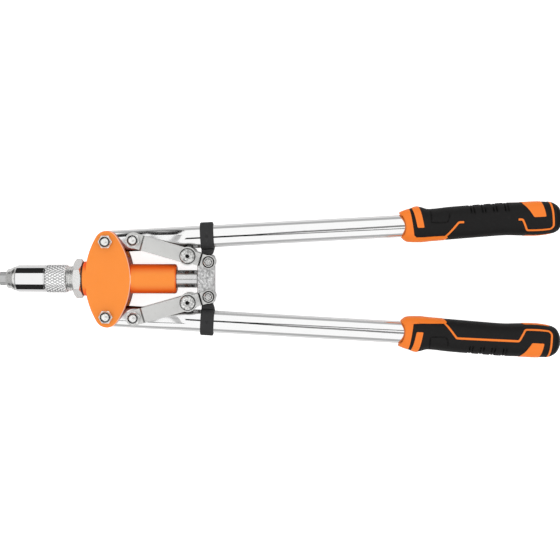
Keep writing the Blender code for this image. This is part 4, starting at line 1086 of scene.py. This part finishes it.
def cut_through(shape, place, normal):
    everything = shape.verts[:] + shape.edges[:] + shape.faces[:]
    bmesh.ops.bisect_plane(shape, geom=everything, dist=1e-7, plane_co=place, plane_no=normal)


def inlay(outline):
    """A strip or panel laid on the grip's skin, from its outline along and round the grip."""
    shape = bmesh.new()
    face = shape.faces.new([shape.verts.new((d, w, 0)) for d, w in outline])
    bmesh.ops.triangulate(shape, faces=[face])
    for axis, pitch in ((0, 0.0015), (1, 0.0008)):
        values = [vertex.co[axis] for vertex in shape.verts]
        cut = math.floor(min(values) / pitch) * pitch + pitch
        while cut < max(values) - 1e-5:
            place, normal = [0, 0, 0], [0, 0, 0]
            place[axis], normal[axis] = cut, 1
            cut_through(shape, place, normal)
            cut += pitch
    border = [edge for edge in shape.edges if edge.is_boundary]
    rim = bmesh.ops.extrude_edge_only(shape, edges=border)["geom"]
    lowered = {item for item in rim if isinstance(item, bmesh.types.BMVert)}
    for vertex in shape.verts:
        lift = INLAY_LIFT - (INLAY_DEPTH if vertex in lowered else 0.0)
        vertex.co = grip_point(vertex.co.x, vertex.co.y, lift)
    return shape


def strip(places, face):
    return inlay(ribbon([(d, around(y, face)) for d, y in rounded(places, 0.0016)]))


def mirrored(places, about=0.0, between=()):
    """Outline from places on the first face, those between, and the first ones on the second face."""
    half = [(d, around(y, 1)) for d, y in places]
    return half + list(between) + [(d, 2 * about - w) for d, w in reversed(half)]


def orange_shapes():
    """What shows of the orange core in the cover: inner patches, outer tabs, and strips along both faces."""
    back = GIRTH / 2
    inner = [(0.0070, -0.0095), (0.0120, -0.0098), (0.0135, -0.0118), (0.0425, -0.0122), (0.0450, -0.0135)]
    rear = [(0.1225, -0.0158), (0.1478, -0.0158)]
    tab = [(0.0115, 0.0145), (0.0148, -0.0024), (0.0215, -0.0026), (0.0182, 0.0150)]
    trapezoid = [(0.1205, 0.0145), (0.1296, 0.0018), (0.1415, 0.0018), (0.1394, 0.0145)]
    outlines = [
        mirrored(inner, back, [(0.0405, back)]), mirrored(rear, back) + [(0.1205, back)],
        [(0.0112, 0.0)] + mirrored(tab, between=[(0.0180, 0.0)]),
        [(0.1195, 0.0)] + mirrored(trapezoid, between=[(0.1390, 0.0)]),
    ]
    shapes = [inlay(rounded(outline, 0.0012, closed=True)) for outline in outlines]
    tail = [(0.1225, -0.0110), (0.1462, -0.0110), (0.1486, -0.0085), (0.1484, 0.0060), (0.1478, 0.0140)]
    shapes.append(strip([(0.0420, -0.0130), (0.0556, 0.0008), (0.0606, 0.0006)], 1))
    shapes.append(strip([(0.1140, 0.0003), (0.1182, 0.0003)] + tail, 1))
    shapes.append(strip([(0.0420, -0.0130), (0.0546, 0.0012), (0.0560, 0.0014), (0.1164, 0.0008)] + tail, -1))
    shapes.append(inlay(ribbon(mirrored([(0.1478, 0.0138)], between=[(0.1476, 0.0)]))))
    return shapes


def build_grip(name, side):
    """Grip: orange core with its collar, strips and tabs, soft cover, and the end cap."""
    matrix, body = arm_matrix(side), f"arm_{name}"
    lips = ((0.0034, 0.0012), (0.0016, 0.0002), (0.0006, 0.0), (0.0002, 0.0003), (0.0, 0.0010))
    collar = [skin_ring(lambda w: mouth_edge(w) + back, -inset) for inset, back in lips]
    collar += skin_grid(lambda w: mouth_edge(w) + 0.0016, collar_edge, 14, 0.0)
    collar += [skin_ring(collar_edge, -EDGE_DEPTH), bore_ring(0.0100, GAP), bore_ring(0.0052, GAP)]
    core = merged(rings_to_solid(collar, closed=True), *orange_shapes())
    piece(core, f"{name}_grip_orange", body, ORANGE, matrix, [f"{name}_grip_core"], 40)
    end = CAP_START - 0.0002
    cover = [skin_ring(lambda w: collar_edge(w) - 0.0004, -EDGE_DEPTH)]
    cover += skin_grid(lambda w: collar_edge(w) + 0.0001, lambda w: end, 270, -COVER_SUNK, cover_depth)
    cover.append(skin_ring(end, -EDGE_DEPTH))
    cover += [bore_ring(distance, COVER_CLEARANCE) for distance in (end, 0.0106)]
    finish(rings_to_solid(cover, closed=True), f"{name}_grip_cover", body, SOFT, matrix, 70)
    cap = [bore_ring(distance, -TUBE_WALL - GAP) for distance in (0.1400, CAP_START - 0.0006)]
    cap += [skin_ring(CAP_START, -inset) for inset in (0.0010, 0.0004)]
    rim = CAP_START + 0.0003
    cap += [skin_ring(rim + (GRIP_LENGTH - rim) * step / 16, -CAP_SUNK) for step in range(1, 17)]
    for inset in (0.0020, 0.0060, 0.0100):
        share = 1 - inset / 0.0102
        cap.append([(x, y * share, z * share) for x, y, z in skin_ring(GRIP_LENGTH, -CAP_SUNK)])
    piece(rings_to_solid(cap, closed=False), f"{name}_grip_end_finish", body, HARD, matrix,
          [f"{name}_grip_end_cap"], 50)


# Links: pairs of joggled plates and what ties them

LINK_THICKNESS = 0.0040
LINK_END_RADIUS = 0.0080
LINK_HALF_WIDTH = 0.0076
BOSS_X = LINK_LENGTH - 0.0213
BOSS_RADIUS = 0.0092
NECK_HALF_WIDTH = 0.0062
TIP_RADIUS = 0.0068
LINK_STEP = 0.0026
FRONT_STEP_AT = 0.0106
REAR_STEP_AT = LINK_LENGTH - 0.0096
LINE_AT = REAR_STEP_AT + LINK_STEP / 2
LINE_DEPTH = 0.0012
LINE_HALF_WIDTH = 0.0006
LINK_FRONT_Z = ARM_HALF + GAP
LINK_MIDDLE_Z = TUBE_THICKNESS / 2 + 0.0010
LINK_REAR_Z = YOKE_HALF_HEIGHT + GAP
BOLT_FLATS = 0.0121
BOLT_RADIUS = 0.0040
TIE_FLATS = 0.0080
SOCKET_FLATS = 0.0038
SOCKET_DEPTH = 0.0021
YOKE_BOLT_FLATS = 0.0057
YOKE_NUT_FLATS = 0.0100


def link_outline():
    """Outline of a link plate along X, from the arm's pivot to the yoke's."""
    rounds = ((LINK_HALF_WIDTH, LINK_END_RADIUS), (LINK_HALF_WIDTH, BOSS_RADIUS),
              (NECK_HALF_WIDTH, BOSS_RADIUS), (NECK_HALF_WIDTH, TIP_RADIUS))
    front, boss, neck, tip = [math.degrees(math.asin(half_width / radius)) for half_width, radius in rounds]
    half = arc((LINK_LENGTH, 0), TIP_RADIUS, 0, 180 - tip, 24)
    half += arc((BOSS_X, 0), BOSS_RADIUS, neck, 180 - boss, 20)
    half += arc((0, 0), LINK_END_RADIUS, front, 180, 28)
    return both_halves(half)


def link_height(x):
    """Height of a link plate's inner face: on the arm, over the tube, on the yoke."""
    front = eased((x - FRONT_STEP_AT + LINK_STEP) / LINK_STEP)
    rear = eased((x - REAR_STEP_AT) / LINK_STEP)
    return LINK_FRONT_Z + (LINK_MIDDLE_Z - LINK_FRONT_Z) * front + (LINK_REAR_Z - LINK_MIDDLE_Z) * rear


def link_plate():
    """A punched plate with broken edges, bent at its two steps and grooved at the rear one."""
    shape = prism(link_outline(), 0, LINK_THICKNESS)
    bmesh.ops.recalc_face_normals(shape, faces=shape.faces)
    sharp = [edge for edge in shape.edges
             if len(edge.link_faces) == 2 and edge.calc_face_angle(0) > math.radians(60)]
    bmesh.ops.bevel(shape, geom=sharp, offset=0.00045, segments=2, profile=0.6, affect="EDGES")
    for start in (FRONT_STEP_AT - LINK_STEP, REAR_STEP_AT):
        for step in range(9):
            cut_through(shape, (start + LINK_STEP * step / 8, 0, 0), (1, 0, 0))
    for vertex in shape.verts:
        if vertex.co.z > LINK_THICKNESS / 2:
            vertex.co.z -= LINE_DEPTH * near(vertex.co.x, LINE_AT, 0.0004, 0.0004)
        vertex.co.z += link_height(vertex.co.x)
    return shape


def build_bolt(prefix, body, matrix, seat):
    """Hexagon bolt with its head below, and above it a lock nut with a black ring of painted shade round the
    bolt's end and a black spot of painted shadow on one side.
    """
    head_low, shoulder, top = -seat - 0.0050, seat + 0.0044, seat + 0.0062
    head = hexed(BOLT_FLATS, [(head_low, 0.0052)] + hex_levels(BOLT_FLATS, head_low, -seat, 0.0011, 0.0))
    shank = [(-seat - 0.0025, BOLT_RADIUS)]
    shank += shifted(top, (-0.0002, BOLT_RADIUS), (0.0003, 0.0039), (0.0007, 0.0036), (0.0010, 0.0031),
                     (0.0012, 0.0022), (0.0012, POINT))
    bolt = merged(head, upright_solid(shank, 64))
    finish(bolt, f"{prefix}_bolt", body, ZINC, matrix, 24)
    crown = [(seat, 0.0042)] + hex_levels(BOLT_FLATS, seat, shoulder, 0.0, 0.0004)
    crown += shifted(shoulder, (0.0002, 0.0058), (0.0006, 0.0057), (0.0012, 0.0056))
    crown += shifted(top, (-0.0003, 0.0055), (0, 0.0053), (0, 0.0051), (-0.0004, 0.0050), (-0.0016, 0.0050),
                     (-0.0016, 0.0042))
    nut = hexed(BOLT_FLATS, crown, bored=True)
    finish(nut, f"{prefix}_nut", body, ZINC, matrix, 24)
    # Black ring in the gap round the bolt's end: painted shade; black spot beside it: painted shadow.
    ring = shifted(top, (-0.0016, 0.0041), (-0.0007, 0.0041), (-0.0004, 0.0045), (-0.0007, 0.0049),
                   (-0.0016, 0.0049))
    shadow_spot = plug(top - 0.0008, top + 0.0001, 0.0009, 24)
    bmesh.ops.translate(shadow_spot, verts=shadow_spot.verts, vec=(0.0044, 0, 0))
    dark = merged(turned(ring, 64, upright=True), shadow_spot)
    piece(dark, f"{prefix}_nut_shade_ring", body, RUBBER, matrix)


def plug(low, high, radius, facets):
    """An upright disc."""
    return upright_solid([(low, POINT), (low, radius), (high, radius), (high, POINT)], facets)


def dark_ring(low, high, inner, outer):
    """An upright ring between two heights and two radii."""
    return turned([(low, inner), (high, inner), (high, outer), (low, outer)], 64, upright=True)


def lower_nut(flats, low, high, cone, bore):
    """Plain nut with its coned end below."""
    return hexed(flats, [(low, bore)] + hex_levels(flats, low, high, cone, 0.0) + [(high, bore)], bored=True)


def build_tie_screw(name, side, body):
    """Round-headed socket screw through a link's plates and spacer, and its nut."""
    matrix = link_matrix(side) @ Matrix.Translation((BOSS_X, 0, 0))
    seat = LINK_MIDDLE_Z + LINK_THICKNESS + GAP
    top, nut_low = seat + 0.0032, -seat - 0.0040
    profile = shifted(nut_low, (-0.0006, 0.0021), (-0.0002, 0.0025))
    profile += shifted(seat, (0, 0.0025), (0, 0.0070), (0.0004, 0.0072))
    profile += shifted(top, (-0.0012, 0.0072), (-0.0005, 0.0069), (-0.0001, 0.0062), (0, 0.0052), (0, POINT))
    screw = upright_solid(profile, 72)
    screw = finish(screw, f"{name}_link_screw", body, SCREW_STEEL, matrix, 30)
    floor = top - SOCKET_DEPTH
    socket = hexed(SOCKET_FLATS, [(floor, SOCKET_FLATS), (top + 0.0010, SOCKET_FLATS)], 36)
    combine(screw, socket, "DIFFERENCE", matrix)
    # Black disc in the socket and black ring round the head's seat: painted shade.
    dark = plug(floor, top - 0.0012, 0.0020, 36)
    dark = merged(dark, dark_ring(seat - 0.0002, seat + 0.0003, 0.0070, 0.0079))
    piece(dark, f"{name}_link_screw_shade", body, PAINTED_SHADE, matrix)
    nut = lower_nut(TIE_FLATS, nut_low, -seat, 0.0007, 0.0028)
    finish(nut, f"{name}_link_screw_nut", body, STEEL, matrix, 24)


def build_yoke_bolt(name, side, body):
    """Flanged bolt through a link's ends and the yoke, and its nut."""
    matrix = link_matrix(side) @ Matrix.Translation((LINK_LENGTH, 0, 0))
    seat = LINK_REAR_Z + LINK_THICKNESS + GAP
    nut_low = -seat - 0.0045
    profile = shifted(nut_low, (-0.0005, 0.0026), (0, 0.0030))
    profile += shifted(seat, (0, 0.0030), (0, 0.0048), (0.0003, 0.0049), (0.0009, 0.0048), (0.0014, 0.0043),
                       (0.0014, POINT))
    levels = hex_levels(YOKE_BOLT_FLATS, seat + 0.0010, seat + 0.0036, 0.0, 0.0006)
    head = hexed(YOKE_BOLT_FLATS, levels + shifted(seat, (0.0036, 0.0018), (0.0033, 0.0014)))
    shape = merged(upright_solid(profile, 64), head)
    finish(shape, f"{name}_yoke_bolt", body, ZINC, matrix, 24)
    # Black rings round the bolt's hex and round its flange's seat: painted shade.
    dark = merged(dark_ring(seat + 0.0012, seat + 0.0016, 0.0028, 0.0036),
                  dark_ring(seat - 0.0002, seat + 0.0003, 0.0047, 0.0059))
    piece(dark, f"{name}_yoke_bolt_shade", body, PAINTED_SHADE, matrix)
    nut = lower_nut(YOKE_NUT_FLATS, nut_low, -seat, 0.0009, 0.0033)
    finish(nut, f"{name}_yoke_nut", body, STEEL, matrix, 24)


def build_link(name, side):
    """A link's two plates, the black line of painted shade in the groove across each, and the bolts and screw
    that tie them.
    """
    body = f"link_{name}"
    for face, flip in (("top", 0.0), ("bottom", math.pi)):
        matrix = link_matrix(side, flip)
        finish(link_plate(), f"{name}_link_{face}", body, LINK_ZINC, matrix, 24)
        # Black line in the rear groove: painted shade.
        floor = link_height(LINE_AT) + LINK_THICKNESS - LINE_DEPTH + 0.0001
        line = box((LINE_AT - LINE_HALF_WIDTH, -NECK_HALF_WIDTH, floor),
                   (LINE_AT + LINE_HALF_WIDTH, NECK_HALF_WIDTH, floor + 0.0005))
        piece(line, f"{name}_link_{face}_line", body, PAINTED_SHADE, matrix)
    build_bolt(f"{name}_link", body, link_matrix(side), LINK_FRONT_Z + LINK_THICKNESS + GAP)
    build_tie_screw(name, side, body)
    build_yoke_bolt(name, side, body)


for build in (build_head, build_stem, build_neck_shade_ring, build_locknut, build_sleeve, build_nosepiece,
              build_rod, build_yoke):
    build()
for side_name, side_sign in SIDES:
    for build in (build_arm, build_bumper, build_grip, build_link):
        build(side_name, side_sign)
    build_bolt(f"{side_name}_ear", "housing", housing_at(0, side_sign * PIVOT_Y), EAR_OUTER + GAP)

# Inner pieces keep their solids, with a finish of their own
BUSHES = ("rod_guide_bush", "upper_pivot_bush", "lower_pivot_bush")
INNER_STEEL = ("jaw_case", "jaw_spring", "jaw_pusher", "jaw_1", "jaw_2", "jaw_3", "upper_link_spacer",
               "lower_link_spacer")
for node_names, slot_name, surface in ((BUSHES, "bronze", BRONZE), (INNER_STEEL, "bare_steel", STEEL)):
    for node_name in node_names:
        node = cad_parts[node_name]
        node.data.materials.clear()
        node.data.materials.append(surface)


# Floor, light and camera

def rectangle(low, high, z):
    """Corners of a level rectangle, from its first corner to the opposite one."""
    return [(low[0], low[1], z), (high[0], low[1], z), (high[0], high[1], z), (low[0], high[1], z)]


def stage_sheet(name, corners, material):
    """A flat sheet of the set, which is no part of the tool."""
    mesh = bpy.data.meshes.new(name)
    mesh.from_pydata(corners, [], [tuple(range(len(corners)))])
    mesh.materials.append(material)
    made = bpy.data.objects.new(name, mesh)
    bpy.context.scene.collection.objects.link(made)
    return made


def card(name, corners, material):
    """A sheet that only mirrors show."""
    made = stage_sheet(name, corners, material)
    made.visible_camera = False
    made.visible_diffuse = False
    made.visible_shadow = False
    made.visible_transmission = False


def wall(name, first, second, low, high, material):
    """An upright card between two places on the floor."""
    card(name, [(*first, low), (*second, low), (*second, high), (*first, high)], material)


def overhead(name, outline, height, material):
    """A level card above the tool."""
    card(name, [(x, y, height) for x, y in outline], material)


def card_material(name, strength):
    """White light of an even strength."""
    made = bpy.data.materials.new(name)
    made.use_nodes = True
    tree = made.node_tree
    tree.nodes.remove(tree.nodes["Principled BSDF"])
    glow = tree.nodes.new("ShaderNodeEmission")
    glow.inputs["Strength"].default_value = strength
    tree.links.new(glow.outputs[0], tree.nodes["Material Output"].inputs["Surface"])
    return made


def floor_material():
    """Pale floor: white where the camera sees it, with the tool's shadow kept."""
    made = Surface("pale_floor", (0.80, 0.80, 0.80), 0.9)
    made.set("Specular IOR Level", 0.0)
    path = made.add("ShaderNodeLightPath").outputs
    mirrored_ray = made.math("MAXIMUM", path["Is Glossy Ray"], path["Is Transmission Ray"])
    total = made.shader.outputs[0]
    for ray, strength in ((path["Is Camera Ray"], FLOOR_GLOW_SEEN), (mirrored_ray, FLOOR_GLOW_MIRRORED)):
        glow = made.add("ShaderNodeEmission", {"Strength": made.product(ray, strength)})
        total = made.add("ShaderNodeAddShader", {0: total, 1: glow.outputs[0]}).outputs[0]
    made.tree.links.new(total, made.tree.nodes["Material Output"].inputs["Surface"])
    return made.material


FLOOR_GLOW_SEEN = 0.80
FLOOR_GLOW_MIRRORED = 0.17
FLOOR_REACH = 4.0
stage_sheet("floor", rectangle((-FLOOR_REACH, -FLOOR_REACH), (FLOOR_REACH, FLOOR_REACH), 0), floor_material())

scene = bpy.context.scene
world = bpy.data.worlds.new("studio")
scene.world = world
world.use_nodes = True
world.node_tree.nodes["Background"].inputs["Color"].default_value = (1.0, 1.0, 1.0, 1.0)
world.node_tree.nodes["Background"].inputs["Strength"].default_value = 1.0

# Cards round and above the tool, which only its polished pieces mirror
BLACK = card_material("black_card", 0.026)
DIM = card_material("dim_card", 0.28)
GREY = card_material("grey_card", 0.56)
BRIGHT = card_material("bright_card", 1.25)
HORIZON = 1.3
SKY = 6
SKY_HEIGHT = 1.7
horizon_corners = [(-HORIZON, -HORIZON), (HORIZON, -HORIZON), (HORIZON, HORIZON), (-HORIZON, HORIZON)]
for index in range(4):
    first, second = horizon_corners[index - 4], horizon_corners[index - 3]
    wall(f"card_horizon_{index}", first, second, 0.002, 0.92, GREY)
card("card_bright", rectangle((-SKY, -SKY), (SKY, SKY), SKY_HEIGHT), BRIGHT)
for side_name, side_sign in SIDES:
    near_y, far_y = side_sign * 0.10, side_sign * 0.40
    overhead(f"card_nose_low_{side_name}", [(-0.8, near_y), (-0.25, near_y), (-0.30, far_y), (-0.8, far_y)],
             0.001, BLACK)
    wall(f"card_nose_{side_name}", (-0.8, far_y), (-0.30, far_y), 0.0, 0.37, BLACK)

# Dark and dim cards that the arms mirror, with a wall at the end of the upper ones
CARD_HEIGHT = 1.05
HIGHER = CARD_HEIGHT + 0.01
WALL_FOOT = 0.62
UPPER_OUTLINE = [(-0.375, 0.30), (-0.325, 0.32), (-0.318, 0.40), (-0.318, 0.60), (-0.345, 0.967),
                 (-0.36, 1.28), (-0.41, 1.28)]
overhead("card_arm_upper", UPPER_OUTLINE, CARD_HEIGHT, BLACK)
wall("card_arm_side", (-0.41, 1.28), (-0.37, 1.28), WALL_FOOT, CARD_HEIGHT, BLACK)
overhead("card_arm_dim", [(-0.40, 0.30), (-0.375, 0.30), (-0.41, 1.28), (-0.46, 1.28)], HIGHER, DIM)
wall("card_arm_dim_side", (-0.46, 1.28), (-0.41, 1.28), WALL_FOOT, HIGHER, DIM)
card("card_arm_lower", rectangle((-0.40, -0.365), (-0.27, -0.43), CARD_HEIGHT), BLACK)

# Greys above the head, from the upper side to the lower one
GREY_EDGES = (0.30, 0.14, -0.08, -0.20, -0.36)
for index, level in enumerate((0.46, 0.56, 0.66, 0.62)):
    corners = rectangle((-0.322, GREY_EDGES[index]), (-0.285, GREY_EDGES[index + 1]), HIGHER)
    card(f"card_grey_{index}", corners, card_material(f"grey_overhead_{index}", level))

# Two bent strips overhead that part towards the grips, black in front and dim behind
MIDDLE = -0.0535
FRONT_PATH = [(-0.25, 0.020), (-0.062, 0.028), (-0.010, 0.052)]
REAR_PATH = [(-0.010, 0.052), (0.04, 0.075), (0.166, 0.090), (0.24, 0.115), (0.60, 0.140)]
for name, sign in (("first", 1), ("second", -1)):
    for part, path, half, material in (("front", FRONT_PATH, 0.042, BLACK), ("rear", REAR_PATH, 0.055, DIM)):
        inner, outer = [[(x, MIDDLE + sign * (y + away)) for x, y in path] for away in (-half, half)]
        overhead(f"card_overhead_{name}_{part}", inner + outer[::-1], 1.10, material)

scene.view_settings.view_transform = "Standard"
camera_data = bpy.data.cameras.new("camera")
camera = bpy.data.objects.new("camera", camera_data)
scene.collection.objects.link(camera)
scene.camera = camera
camera_data.sensor_width = 36.0
camera_data.lens = 64.3
TARGET = Vector((0.0, -0.0010, 0.0208))
TILT = math.radians(3.0)
camera.location = TARGET + Vector((0, math.sin(TILT), math.cos(TILT)))
camera.rotation_euler = (-TILT, 0, math.radians(0.12))
